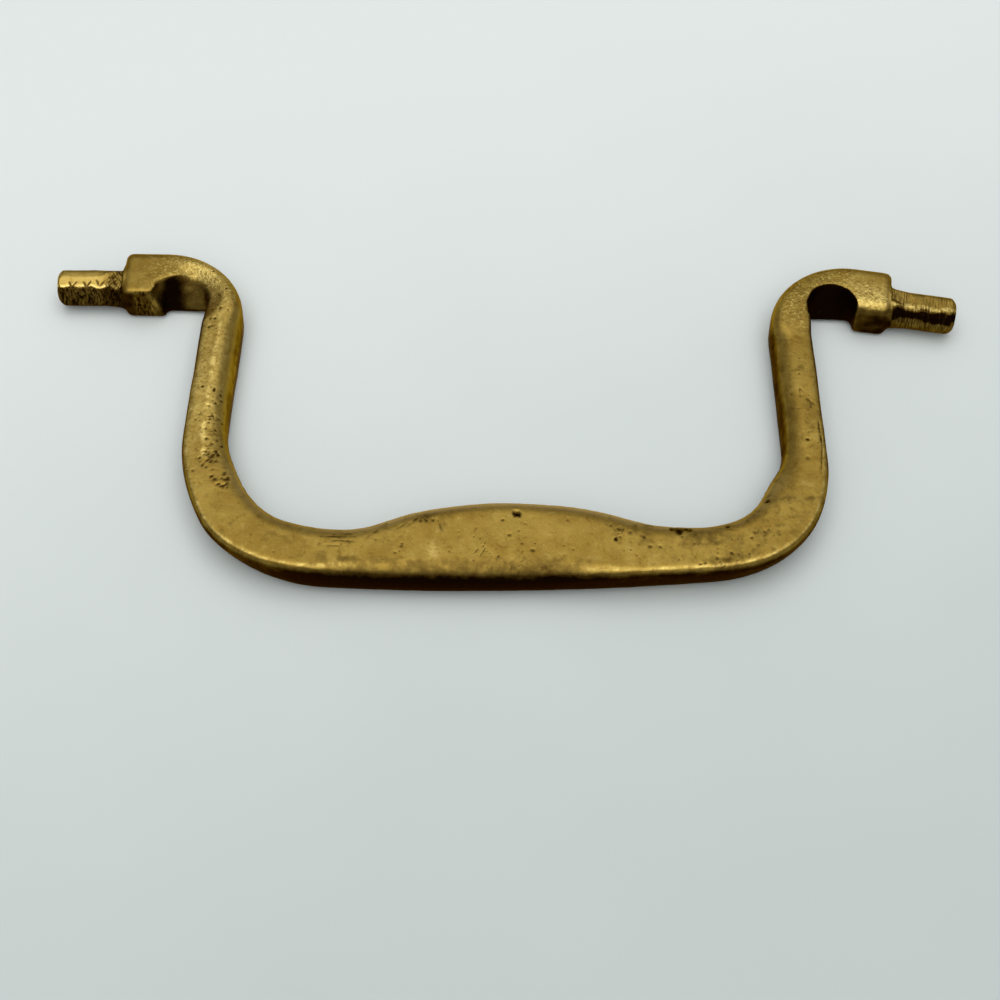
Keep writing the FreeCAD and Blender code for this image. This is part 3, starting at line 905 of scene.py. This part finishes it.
@dataclass
class BailCasting:
    """The bail itself: grip, corners, arms, swan-neck bends, hollowed bosses and filed pins."""

    cad_node: str = "bail"
    name: str = "bail_casting"
    front: float = 5.15
    mid_height: float = 2.575
    pivot_x: float = -0.0616
    pivot_y: float = 18.6263
    half_spacing: float = 50.8
    shoulder: float = 46.75
    left_droop_deg: float = 1.0
    right_droop_deg: float = 8.0
    hair: float = 0.0005
    skin_step: float = 0.28
    net_smoothing: float = 0.5
    fine_smoothing: float = 0.4
    worked_facing: float = 0.80
    worked_pin_facing: float = -0.2
    wall_facing: float = 0.35
    wall_low: float = 2.3
    wall_high: float = 4.2
    loop_half_length: float = 36.0
    loop_half_width: float = 20.0
    bend_foot: float = 12.5
    bend_far_facing: float = 0.1
    bend_mid_facing: float = -0.3
    sway: Cloud = Cloud(6, 2, 1, 1, 0.6)
    ripple: Cloud = Cloud(2, 2, 2, 0.4)
    waviness: float = 0.035
    roll_foot: float = 2.2
    roll_wall: float = 0.10
    rolled_rows: Rise = (15.0, 12.0)
    crisp_roll: float = 0.7
    thumb_roll: Zone = Zone(0, 1.4, x=(-25, -11, 17, 3), y=(-10, -14))
    finger_roll: Zone = Zone(1.5, 0.5, y=(16, 11))
    right_arm_roll: Zone = Zone(0, 0.5, x=(24, 30), y=(16, 11, 15, 11, -15, -8))
    left_arm_ridge: Zone = Zone(0, 0.055, x=(-24, -28), y=(15.5, 12, -11, -6))
    ridge_inner_share: float = 0.7
    ridge_height: Rise = (2.0, 4.4)
    bend_slump: Zone = Zone(0, 1.2, Spot(-39.15, 15.85, 5, 2.6), x=(-41, -38))
    slump_height: Rise = (2.5, 5.0)
    easings: tuple[tuple[Zone, int], ...] = (
        (Zone(0, 0.5, y=(14.5, 12.5), wall=(3, 2.2)), 4),
        (Zone(0, 0.6, Spot(-36.6, 17, 3, 1.4), z=(1, 2.4)), 24),
        (Zone(0, 0.5, Spot(39.4, 17, 4.2, 3.6)), 3),
    )
    left_facets: tuple[Facet, ...] = (Facet(-17, 1.90), Facet(-74, 1.98), Facet(46, 2.02))
    right_facets: tuple[Facet, ...] = (Facet(-7, 1.92), Facet(-66, 2), Facet(50, 2.05))
    file_wave: Cloud = Cloud(1.6, 2, 5, 0.05)
    filed_along: Rise = (-4.0, -3.8)
    filed_round: Rise = (2.7, 2.5)
    pin_wobble: Cloud = Cloud(1.4, 2, 12, 9)
    scoop_top: Point = (-40.15, 15.75, 5.6)
    scoop_foot: Point = (-39.15, 15.85, 0.8)
    scoop_wide: float = 3.25
    scoop_narrow: float = 2.45
    scoop_segments: int = 72
    hollow_floors: tuple[HollowFloor, ...] = (
        HollowFloor(-42.3, -35.3, -0.05, -1.9, 9),
        HollowFloor(36.6, 42.2, 1.30, -0.55, 2.85),
    )
    floor_steps: int = 12
    floor_low: float = 0.3
    floor_high: float = 4.9
    floor_back: float = 1.6
    fuller_reach: Rise = (3.4, 0.6)
    fuller_top: float = 4.3
    fuller_outside_from: float = 0.9
    fuller_inside_from: float = 0.2
    fuller_outside: tuple[Mound, ...] = (
        Mound(-32.5, -17.5, 3.2, 3.2, 0.75),
        Mound(-28.0, -21.0, 3.2, 3.2, 0.55),
        Mound(12.0, -22.5, 4.5, 4.5, 0.30),
        Mound(22.0, -22.0, 4.5, 4.5, 0.45),
        Mound(30.5, -18.9, 3.6, 3.6, 0.70),
        Mound(34.3, -14.5, 3.0, 3.0, 0.40),
    )
    fuller_inside: tuple[Mound, ...] = (
        Mound(-31.8, -5.2, 2.4, 2.4, 0.35),
        Mound(-31.0, -9.5, 3.0, 3.0, 0.90),
        Mound(-28.6, -13.4, 2.0, 2.0, 0.20),
        Mound(-21.0, -17.0, 3.6, 3.6, 0.50),
        Mound(-11.5, -15.5, 4.6, 4.6, 0.50),
        Mound(-1.0, -13.4, 4.6, 4.6, 0.38),
        Mound(8.5, -13.8, 3.6, 3.6, 0.60),
        Mound(14.5, -15.3, 3.2, 3.2, 0.85),
        Mound(22.0, -16.6, 3.4, 3.4, 0.25),
        Mound(31.6, -5.0, 2.2, 2.2, 0.35),
        Mound(30.6, -9.2, 2.3, 2.3, 1.10),
        Mound(29.2, -12.0, 2.0, 2.0, 0.25),
        Mound(32.5, 8.0, 6.0, 6.0, 0.30),
    )
    marked_facing: float = 0.35
    marked_depth: float = 1.6
    ragged: Cloud = Cloud(0.35, 2, 6, 0.45, 1)
    broken: Cloud = Cloud(0.8, 2, 8, 0.6, 0.75)
    pit_edge: Rise = (1.3, 0.3)
    groove_edge: Rise = (1.0, 0.2)
    pits: tuple[Pit, ...] = (
        Pit(1.38, -15.12, 0.42, 0.30),
        Pit(1.62, -15.30, 0.26, 0.24),
        Pit(-0.17, -16.05, 0.18, 0.09, 0.8),
        Pit(2.35, -16.5, 0.12, 0.05, 0.5),
        Pit(0.61, -18.05, 0.22, 0.07, 0.5),
        Pit(3.23, -20.03, 0.22, 0.09, 0.55),
        Pit(4.45, -22.2, 0.34, 0.08, 0.5),
        Pit(1.1, -22.4, 0.30, 0.07, 0.5),
        Pit(-5.0, -18.4, 0.14, 0.05, 0.5),
        Pit(7.07, -15.8, 0.20, 0.06, 0.4),
        Pit(-11.3, -19.9, 0.18, 0.06, 0.55),
        Pit(-12.0, -20.8, 0.18, 0.06, 0.55),
        Pit(24.98, -16.1, 0.26, 0.12, 0.7),
        Pit(29.68, -12.4, 0.34, 0.14, 0.85),
        Pit(34.82, -3.72, 0.24, 0.14, 0.9),
        Pit(34.63, -6.39, 0.28, 0.06, 0.5),
        Pit(12.9, -16.9, 0.24, 0.08, 0.6),
        Pit(19.5, -16.8, 0.46, 0.16, 1.0),
        Pit(20.3, -16.55, 0.32, 0.12, 1.0),
        Pit(14.0, -17.3, 0.20, 0.08, 0.55),
        Pit(16.2, -19.1, 0.20, 0.10, 0.6),
        Pit(17.3, -19.1, 0.16, 0.08, 0.5),
        Pit(23.6, -20.4, 0.24, 0.08, 0.55),
        Pit(24.9, -20.5, 0.22, 0.08, 0.55),
        Pit(28.0, -16.9, 0.18, 0.08, 0.5),
        Pit(29.1, -16.7, 0.20, 0.08, 0.55),
    )
    patches: tuple[PitPatch, ...] = (
        PitPatch(-33.65, -8.2, 0.60, 0.95, 80, 0.08, 0.22, 3),
        PitPatch(-31.9, -12.0, 0.50, 0.85, 32, 0.08, 0.24, 6),
        PitPatch(-34.0, -2.6, 0.95, 3.0, 90, 0.08, 0.20, 7),
        PitPatch(13.2, -17.3, 1.5, 0.8, 22, 0.09, 0.22, 11),
        PitPatch(24.3, -20.5, 1.6, 0.5, 14, 0.09, 0.20, 13),
        PitPatch(28.3, -16.9, 1.3, 0.8, 20, 0.09, 0.20, 17),
        PitPatch(0.5, -19.7, 3.6, 1.6, 30, 0.07, 0.16, 19),
        PitPatch(-14.0, -18.7, 3.0, 1.4, 16, 0.07, 0.16, 23),
        PitPatch(20.0, -18.5, 4.0, 1.3, 24, 0.07, 0.16, 29),
        PitPatch(-36.0, 14.3, 1.6, 3.0, 40, 0.09, 0.20, 31),
        PitPatch(34.5, 0.3, 0.8, 3.0, 16, 0.08, 0.16, 37),
        PitPatch(-8.9, -16.35, 0.8, 0.22, 18, 0.09, 0.20, 41),
    )
    scratches: tuple[Scratch, ...] = (
        Scratch(-20.3, -18.9, -16.4, -18.8),
        Scratch(-19.4, -19.3, -16.7, -19.5),
        Scratch(-20.6, -20.0, -18.0, -20.1),
        Scratch(-18.9, -18.5, -16.9, -18.4, 0.10),
        Scratch(-10.8, -16.7, -11.8, -17.6, 0.20, 0.03, 0.5),
        Scratch(-10.1, -16.6, -10.9, -17.3, 0.16, 0.03, 0.5),
        Scratch(-14.1, -17.9, -15.3, -19.0, 0.20, 0.03, 0.5),
        Scratch(-7.2, -16.8, -6.95, -17.7, 0.22, 0.03, 0.45),
        Scratch(-2.6, -21.0, -2.0, -19.9),
        Scratch(-3.3, -20.7, -2.8, -20.0, 0.10),
        Scratch(-5.2, -23.0, -4.7, -22.0),
        Scratch(-0.1, -22.9, 0.4, -21.9),
        Scratch(1.6, -22.9, 2.2, -21.8, 0.14, 0.04, 0.6),
        Scratch(3.0, -22.8, 3.5, -21.7, 0.10),
        Scratch(35.2, 2.2, 35.9, 1.5, 0.18, 0.05),
        Scratch(35.6, 1.85, 35.5, 1.0, 0.16, 0.05),
        Scratch(34.4, 3.7, 34.3, 2.7, 0.14, 0.04, 0.6),
        Scratch(34.4, 3.7, 34.9, 3.0, 0.14, 0.04, 0.6),
        Scratch(34.9, 3.0, 34.4, 2.5, 0.14, 0.04, 0.6),
        Scratch(36.2, -0.8, 36.4, -4.6, 0.16, 0.06, 0.8),
        Scratch(36.4, -4.6, 36.0, -8.4, 0.14, 0.05, 0.8),
        Scratch(18.7, -16.55, 20.7, -16.65, 0.50, 0.16, 1.0),
        Scratch(19.1, -16.75, 19.6, -17.15, 0.42, 0.14, 1.0),
        Scratch(-53.4, 17.9, -53.0, 17.2, 0.16, 0.06, 0.8),
        Scratch(-53.0, 17.2, -52.5, 17.9, 0.16, 0.06, 0.8),
        Scratch(-51.6, 17.9, -51.25, 17.25, 0.16, 0.06, 0.8),
        Scratch(-51.25, 17.25, -50.8, 18.0, 0.16, 0.06, 0.8),
        Scratch(-50.1, 18.2, -49.7, 17.4, 0.16, 0.06, 0.8),
        Scratch(-49.7, 17.4, -48.9, 18.5, 0.16, 0.06, 0.8),
    )
    patina_and_painted_light: PatinaAndPaintedLight = PatinaAndPaintedLight()

    def build(self, finish: WornBrass) -> bpy.types.Object:
        """Makes the dressed casting and puts it in the place of the plain one.

        Args:
            finish: The brass to dress it in.

        Returns:
            The piece.
        """
        mesh = self.even_skin()
        self.refine(mesh)
        points, normals = self.read(mesh)
        walls = self.find_walls(points, normals)
        points = self.work_metal(points, normals, walls)
        for zone, rounds in self.easings:
            points = self.ease(mesh, points, zone.at(self.survey(points, normals, walls)), rounds)
        points = self.file_pin(points, Side.LEFT, self.left_facets)
        points = self.file_pin(points, Side.RIGHT, self.right_facets)
        self.write(mesh, points)
        worked, facing = self.read(mesh)
        survey = self.survey(worked, facing, walls)
        survey["turn"] = self.pin_angles(worked)
        dents, dirt = self.marks(worked, facing)
        self.write(mesh, points - facing * dents[:, None])
        for layer, grades in self.patina_and_painted_light.layers(worked, survey, dirt, self.patches).items():
            shade = mesh.attributes.new(layer.value, "FLOAT", "POINT")
            shade.data.foreach_set("value", np.clip(grades, 0.0, 1.0).astype(np.float32))
        mesh.transform(Matrix.Scale(MM, 4))
        mesh.update()
        piece = bpy.data.objects.new(self.name, mesh)
        bpy.context.scene.collection.objects.link(piece)
        mesh.materials.append(finish.material())
        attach(piece, "root")
        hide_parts(self.cad_node)
        return piece

    def plain_copy(self) -> bpy.types.Object:
        """Copies the plain casting with its triangles joined, in millimetres.

        Returns:
            The closed copy.
        """
        shape = bmesh.new()
        shape.from_mesh(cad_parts[self.cad_node].data)
        bmesh.ops.scale(shape, vec=Vector((1.0, 1.0, 1.0)) / MM, verts=shape.verts)
        bmesh.ops.remove_doubles(shape, verts=shape.verts, dist=TOUCH)
        return finished(shape, "plain_copy")

    def round_file(self) -> bpy.types.Object:
        """Makes the tapered round file that widened the left hollow.

        Returns:
            The file, at the slant of its last stroke.
        """
        top, foot = Vector(self.scoop_top), Vector(self.scoop_foot)
        slant = (top - foot).to_track_quat("Z", "Y").to_matrix().to_4x4()
        place = Matrix.Translation((top + foot) / 2.0) @ slant
        shape = bmesh.new()
        bmesh.ops.create_cone(shape, cap_ends=True, segments=self.scoop_segments, radius1=self.scoop_narrow,
                              radius2=self.scoop_wide, depth=(top - foot).length, matrix=place)
        return finished(shape, "round_file")

    def hollow_filling(self) -> bpy.types.Object:
        """Makes the metal left at the bottom of the two hollows, with its sloping floors.

        Returns:
            Two wedges in one mesh.
        """
        shape = bmesh.new()
        for floor in self.hollow_floors:
            back = floor.rim + self.floor_back
            profile = ((floor.foot, self.floor_low), (floor.rim, self.floor_high), (back, self.floor_high),
                       (back, self.floor_low))
            cap = shape.faces.new([shape.verts.new((floor.start, self.pivot_y + y, z)) for y, z in profile])
            drawn = bmesh.ops.extrude_face_region(shape, geom=[cap])["geom"]
            moved = [part for part in drawn if isinstance(part, bmesh.types.BMVert)]
            length = floor.end - floor.start
            bmesh.ops.translate(shape, vec=Vector((length, 0.0, 0.0)), verts=moved)
            long_edges = [edge for edge in shape.edges if edge.calc_length() > length - TOUCH]
            bmesh.ops.subdivide_edges(shape, edges=long_edges, cuts=self.floor_steps, use_grid_fill=True)
            for vert in shape.verts:
                at_rim = vert.co.z > self.mid_height and vert.co.y < self.pivot_y + floor.rim + TOUCH
                if at_rim and floor.start - TOUCH < vert.co.x < floor.end + TOUCH:
                    vert.co.y -= floor.drop(vert.co.x)
        bmesh.ops.recalc_face_normals(shape, faces=shape.faces)
        return finished(shape, "hollow_filling")

    def even_skin(self) -> bpy.types.Mesh:
        """Shapes the two hollows, then covers the casting with an even net of small squares.

        Returns:
            The netted mesh, smooth shaded.
        """
        plain = self.plain_copy()
        tools = {"DIFFERENCE": self.round_file(), "UNION": self.hollow_filling()}
        for operation, tool in tools.items():
            step = plain.modifiers.new(tool.name, "BOOLEAN")
            step.operation = operation
            step.solver = "EXACT"
            step.object = tool
        net = plain.modifiers.new("net", "REMESH")
        net.mode = "VOXEL"
        net.voxel_size = self.skin_step
        net.use_smooth_shade = True
        ready = plain.evaluated_get(bpy.context.evaluated_depsgraph_get())
        mesh = bpy.data.meshes.new_from_object(ready)
        mesh.name = self.name
        for spent in (plain, *tools.values()):
            data = spent.data
            bpy.data.objects.remove(spent)
            bpy.data.meshes.remove(data)
        return mesh

    def refine(self, mesh: bpy.types.Mesh) -> None:
        """Halves the net on the front face, the bosses and the pins, where the marks are.

        Args:
            mesh: The netted mesh, changed in place.
        """
        shape = bmesh.new()
        shape.from_mesh(mesh)
        all_ways = {"use_axis_x": True, "use_axis_y": True, "use_axis_z": True}
        bmesh.ops.smooth_vert(shape, verts=shape.verts, factor=self.net_smoothing, **all_ways)
        shape.normal_update()
        edges = [edge for edge in shape.edges if all(self.is_worked(vert) for vert in edge.verts)]
        bmesh.ops.subdivide_edges(shape, edges=edges, cuts=1, use_grid_fill=True)
        bmesh.ops.smooth_vert(shape, verts=shape.verts, factor=self.fine_smoothing, **all_ways)
        bmesh.ops.triangulate(shape, faces=[face for face in shape.faces if len(face.verts) > 4])
        shape.to_mesh(mesh)
        shape.free()
        mesh.shade_smooth()

    def is_worked(self, vert: bmesh.types.BMVert) -> bool:
        """Tells whether a point is on the front face or a pin.

        Args:
            vert: The point.

        Returns:
            True where the net is halved.
        """
        on_pin = abs(vert.co.x - self.pivot_x) > self.shoulder
        return vert.normal.z > (self.worked_pin_facing if on_pin else self.worked_facing)

    def read(self, mesh: bpy.types.Mesh) -> tuple[Array, Array]:
        """Reads where the points of a mesh are and which way they face.

        Args:
            mesh: The mesh.

        Returns:
            The places in millimetres and the outward directions.
        """
        count = len(mesh.vertices)
        points = np.empty(count * 3, np.float32)
        normals = np.empty(count * 3, np.float32)
        mesh.vertices.foreach_get("co", points)
        mesh.vertex_normals.foreach_get("vector", normals)
        return points.reshape(-1, 3).astype(float), normals.reshape(-1, 3).astype(float)

    def write(self, mesh: bpy.types.Mesh, points: Array) -> None:
        """Moves the points of a mesh, none of them out of the casting's box.

        Args:
            mesh: The mesh, changed in place.
            points: The places.
        """
        low, high = (np.array(corner) / MM for corner in CAD_BOX)
        kept = np.clip(points, low + self.hair, high - self.hair)
        mesh.vertices.foreach_set("co", kept.astype(np.float32).ravel())
        mesh.update()

    def find_walls(self, points: Array, normals: Array) -> Walls:
        """Finds the outside wall and the wall on the fingers' side.

        Args:
            points: The places.
            normals: The outward directions.

        Returns:
            The distances and the walls' directions, seen from the front.
        """
        x, y, z = points.T
        wall = (np.abs(normals[:, 2]) < self.wall_facing) & (z > self.wall_low) & (z < self.wall_high)
        away = normals[:, 0] * x / self.loop_half_length ** 2 + normals[:, 1] * y / self.loop_half_width ** 2
        far = (normals[:, 1] > self.bend_far_facing) | (normals[:, 0] * np.sign(x) < self.bend_mid_facing)
        outside = np.where(y > self.bend_foot, ~far, away > 0.0)
        distances, ways = [], []
        for side in (outside, ~outside):
            rows = np.nonzero(wall & side)[0]
            tree = kdtree.KDTree(len(rows))
            for row in rows:
                tree.insert((x[row], y[row], 0.0), int(row))
            tree.balance()
            found = [tree.find((a, b, 0.0)) for a, b in zip(x, y)]
            distances.append(np.array([hit[2] for hit in found]))
            plan = normals[[hit[1] for hit in found], :2]
            ways.append(plan / np.linalg.norm(plan, axis=1)[:, None])
        return Walls(distances[0], distances[1], ways[0], ways[1])

    def survey(self, points: Array, normals: Array, walls: Walls) -> Survey:
        """Measures what the zones are bounded by.

        Args:
            points: The places.
            normals: The outward directions.
            walls: The distances from the two walls.

        Returns:
            The place along each axis, how far each point faces up, its distance from the outside wall and
            from the nearest wall, the difference of its two walls, and how far past its shoulder it is.
        """
        x, y, z = points.T
        return {
            "x": x, "y": y, "z": z, "up": normals[:, 2], "outer": walls.outer,
            "wall": np.minimum(walls.outer, walls.inner), "lean": walls.outer - walls.inner,
            "past": np.abs(x - self.pivot_x) - self.shoulder,
        }

    def work_metal(self, points: Array, normals: Array, walls: Walls) -> Array:
        """Gives the casting its hand-worked shape.

        Args:
            points: The places.
            normals: The outward directions.
            walls: The distances from the two walls.

        Returns:
            The new places.
        """
        on = self.survey(points, normals, walls)
        points = self.roll(points, walls.outer, self.crisp_roll + self.thumb_roll.at(on))
        points = self.roll(points, walls.inner, self.finger_roll.at(on) + self.right_arm_roll.at(on))
        points = self.fill_out(points, walls.outer, walls.outer_way, self.fuller_outside,
                               self.fuller_outside_from)
        points = self.fill_out(points, walls.inner, walls.inner_way, self.fuller_inside,
                               self.fuller_inside_from)
        half = on["lean"] / 2.0
        fall = np.maximum(-half, 0.0) + self.ridge_inner_share * np.maximum(half, 0.0)
        points[:, 2] -= self.left_arm_ridge.at(on) * fall * ramp(points[:, 2], *self.ridge_height)
        points[:, 2] -= self.bend_slump.at(on) * ramp(points[:, 2], *self.slump_height)
        waves = self.waviness * (self.sway.at(points) + self.ripple.at(points))
        return points - normals * waves[:, None]

    def fill_out(self, points: Array, reach: Array, way: Array, stretches: tuple[Mound, ...],
                 low: float) -> Array:
        """Lets the front stand out beyond the back along one wall.

        Args:
            points: The places.
            reach: The distances from that wall.
            way: The wall's directions in plan.
            stretches: Where it stands out, and how much.
            low: The height up to which the wall stays as it is.

        Returns:
            The new places.
        """
        points = points.copy()
        amount = sum(stretch.at(points) for stretch in stretches)
        share = amount * ramp(reach, *self.fuller_reach) * ramp(points[:, 2], low, self.fuller_top)
        points[:, :2] += way * share[:, None]
        return points

    def ease(self, mesh: bpy.types.Mesh, points: Array, weight: Array, rounds: int) -> Array:
        """Evens out worked edges.

        Args:
            mesh: The mesh, for its edges.
            points: The places.
            weight: How far each point moves towards its neighbours.
            rounds: How often it moves.

        Returns:
            The new places.
        """
        ends = np.empty(len(mesh.edges) * 2, np.int32)
        mesh.edges.foreach_get("vertices", ends)
        first, second = ends[0::2], ends[1::2]
        count = len(points)
        share = np.maximum(np.bincount(ends, minlength=count), 1)
        for _ in range(rounds):
            middle = np.empty_like(points)
            for axis in range(3):
                total = np.bincount(first, points[second, axis], count)
                total += np.bincount(second, points[first, axis], count)
                middle[:, axis] = total / share
            points = points + weight[:, None] * (middle - points)
        return points

    def roll(self, points: Array, reach: Array, radius: Array) -> Array:
        """Rounds the front edge over, as hands have worn it.

        Args:
            points: The places.
            reach: The distances from the wall under that edge.
            radius: The radius of the roll at each point.

        Returns:
            The new places.
        """
        low = self.roll_foot
        points = points.copy()
        z = points[:, 2]
        upright = (reach < self.roll_wall) & (z > low)
        squeeze = (self.front - radius - low) / (self.front - self.crisp_roll - low)
        z = np.where(upright, np.minimum(z, low + (z - low) * squeeze), z)
        inside = np.clip(radius - reach, 0.0, radius)
        crown = self.front - radius + np.sqrt(np.maximum(radius ** 2 - inside ** 2, 0.0))
        on_roll = (reach >= self.roll_wall) & (reach < radius) & (z > low)
        rolled = np.where(on_roll, np.minimum(z, crown), z)
        points[:, 2] += ramp(points[:, 1], *self.rolled_rows) * (rolled - points[:, 2])
        return points

    def file_pin(self, points: Array, side: Side, facets: tuple[Facet, ...]) -> Array:
        """Files the flats of one pin.

        Args:
            points: The places.
            side: Which pin.
            facets: The flats, each tilted from the front towards the far side.

        Returns:
            The new places.
        """
        droop = math.radians(self.left_droop_deg if side is Side.LEFT else self.right_droop_deg)
        along = np.array((side.value * math.cos(droop), -math.sin(droop), 0.0))
        far = np.array((math.sin(droop) * side.value, math.cos(droop), 0.0))
        middle = np.array((self.pivot_x + side.value * self.half_spacing, self.pivot_y, self.mid_height))
        from_middle = points - middle
        off_axis = np.hypot(from_middle @ far, from_middle[:, 2])
        inside = ramp(from_middle @ along, *self.filed_along) * ramp(off_axis, *self.filed_round)
        for facet in facets:
            tilt = math.radians(facet.tilt_deg)
            out = far * math.sin(tilt) + np.array((0.0, 0.0, math.cos(tilt)))
            wave = replace(self.file_wave, seed=self.file_wave.seed + facet.tilt_deg, base=facet.from_axis)
            proud = np.maximum((points - middle) @ out - wave.at(points), 0.0) * inside
            points = points - proud[:, None] * out
        return points

    def marks(self, points: Array, normals: Array) -> tuple[Array, Array]:
        """Presses the holes and scratches of the front face.

        Args:
            points: The places.
            normals: The outward directions.

        Returns:
            How deep each point is pressed in, and how dirty it is.
        """
        dents, dirt = np.zeros(len(points)), np.zeros(len(points))
        high = points[:, 2] > self.front - self.marked_depth
        facing = np.nonzero((normals[:, 2] > self.marked_facing) & high)[0]
        flat = points[facing, :2]
        ragged = self.ragged.at(points[facing])
        broken = np.clip(self.broken.at(points[facing]), 0.0, 1.0)
        presses = []
        for hole in (*self.pits, *(pit for patch in self.patches for pit in patch.pits())):
            away = np.hypot(flat[:, 0] - hole.x, flat[:, 1] - hole.y) * ragged
            start, end = (hole.radius * share for share in self.pit_edge)
            presses.append((hole, ramp(away, start, end)))
        for groove in self.scratches:
            first = np.array((groove.x0, groove.y0))
            run = np.array((groove.x1, groove.y1)) - first
            share = np.clip(((flat - first) @ run) / (run @ run), 0.0, 1.0)
            away = np.linalg.norm(flat - first - share[:, None] * run, axis=1) * ragged
            start, end = (groove.width * share for share in self.groove_edge)
            presses.append((groove, ramp(away, start, end) * broken))
        for mark, press in presses:
            dents[facing] = np.maximum(dents[facing], press * mark.depth)
            dirt[facing] = np.maximum(dirt[facing], press * mark.dirt)
        return dents, dirt

    def pin_angles(self, points: Array) -> Array:
        """Measures how far round its pin each point is, from the front towards the grip.

        Args:
            points: The places.

        Returns:
            The angles in degrees, a little wavy.
        """
        x = points[:, 0] - self.pivot_x
        left = self.pivot_y + (x + self.half_spacing) * math.tan(math.radians(self.left_droop_deg))
        right = self.pivot_y - (x - self.half_spacing) * math.tan(math.radians(self.right_droop_deg))
        axis = np.where(x < 0.0, left, right)
        angles = np.degrees(np.arctan2(axis - points[:, 1], points[:, 2] - self.mid_height))
        return angles + self.pin_wobble.at(points)


@dataclass
class TableTop:
    """The table that the bail lies on."""

    half_size: float = 6000.0
    gap: float = 0.02

    def build(self, finish: PaleTable) -> bpy.types.Object:
        """Lays the table under the bail.

        Args:
            finish: The table's finish.

        Returns:
            The table.
        """
        shape = bmesh.new()
        place = Matrix.Translation((0.0, 0.0, -self.gap * MM))
        bmesh.ops.create_grid(shape, x_segments=2, y_segments=2, size=self.half_size * MM, matrix=place)
        table = finished(shape, "table_top")
        table.data.materials.append(finish.material())
        return table


@dataclass
class SoftLight:
    """A long soft light overhead, running away from the viewer, in a dim room."""

    half_width: float = 0.70
    half_length: float = 0.95
    lean: float = -0.11
    glow: Grade = Grade(1.0, 0.50, 0.33, 2.02)
    tint: Colour = (252, 254, 255)

    def build(self) -> bpy.types.World:
        """Lights the scene.

        Returns:
            The world.
        """
        world = bpy.data.worlds.new("soft_light")
        world.use_nodes = True
        sheet = NodeSheet(world.node_tree)
        look = sheet.add("ShaderNodeTexCoord").outputs["Generated"]
        way = sheet.add("ShaderNodeSeparateXYZ", {"Vector": look}).outputs
        across = sheet.calc("DIVIDE", way["X"], self.half_width)
        along = sheet.calc("DIVIDE", sheet.calc("SUBTRACT", way["Y"], self.lean), self.half_length)
        squares = [sheet.calc("MULTIPLY", part, part) for part in (across, along)]
        from_middle = sheet.calc("POWER", sheet.calc("ADD", *squares), 0.5)
        sky = sheet.add("ShaderNodeBackground", {
            "Color": linear(self.tint), "Strength": sheet.grade(from_middle, self.glow)})
        sheet.add("ShaderNodeOutputWorld", {"Surface": sky.outputs["Background"]})
        bpy.context.scene.world = world
        return world


@dataclass
class Viewpoint:
    """The camera, where the photograph was taken from."""

    place: Point = (-2.2143, -141.2657, 187.7695)
    aim: Point = (-0.4750, -9.7996, 0.0)
    roll_deg: float = 2.08
    lens: float = 71.46
    sensor: float = 36.0
    nearest: float = 0.005

    def build(self) -> bpy.types.Object:
        """Sets the camera up.

        Returns:
            The camera.
        """
        ahead = (Vector(self.aim) - Vector(self.place)).normalized()
        level = ahead.cross(Vector((0.0, 0.0, 1.0))).normalized()
        upright = level.cross(ahead)
        roll = math.radians(self.roll_deg)
        right = level * math.cos(roll) + upright * math.sin(roll)
        up = upright * math.cos(roll) - level * math.sin(roll)
        lens = bpy.data.cameras.new("viewpoint")
        lens.lens = self.lens
        lens.sensor_width = self.sensor
        lens.clip_start = self.nearest
        camera = bpy.data.objects.new("viewpoint", lens)
        turn = Matrix((right, up, -ahead)).transposed().to_4x4()
        camera.matrix_world = Matrix.Translation(Vector(self.place) * MM) @ turn
        bpy.context.scene.collection.objects.link(camera)
        bpy.context.scene.camera = camera
        return camera


def main() -> None:
    """Builds the table, the light, the camera and the bail, and logs their face and point counts."""
    logging.basicConfig(level=logging.INFO, format="%(name)s: %(message)s")
    bpy.context.scene.view_settings.view_transform = "Standard"
    table = TableTop().build(PaleTable())
    SoftLight().build()
    Viewpoint().build()
    casting = BailCasting().build(WornBrass())
    for piece in (table, casting):
        log.info("%s: %d faces, %d points", piece.name, len(piece.data.polygons), len(piece.data.vertices))


if __name__ == "__main__":
    main()
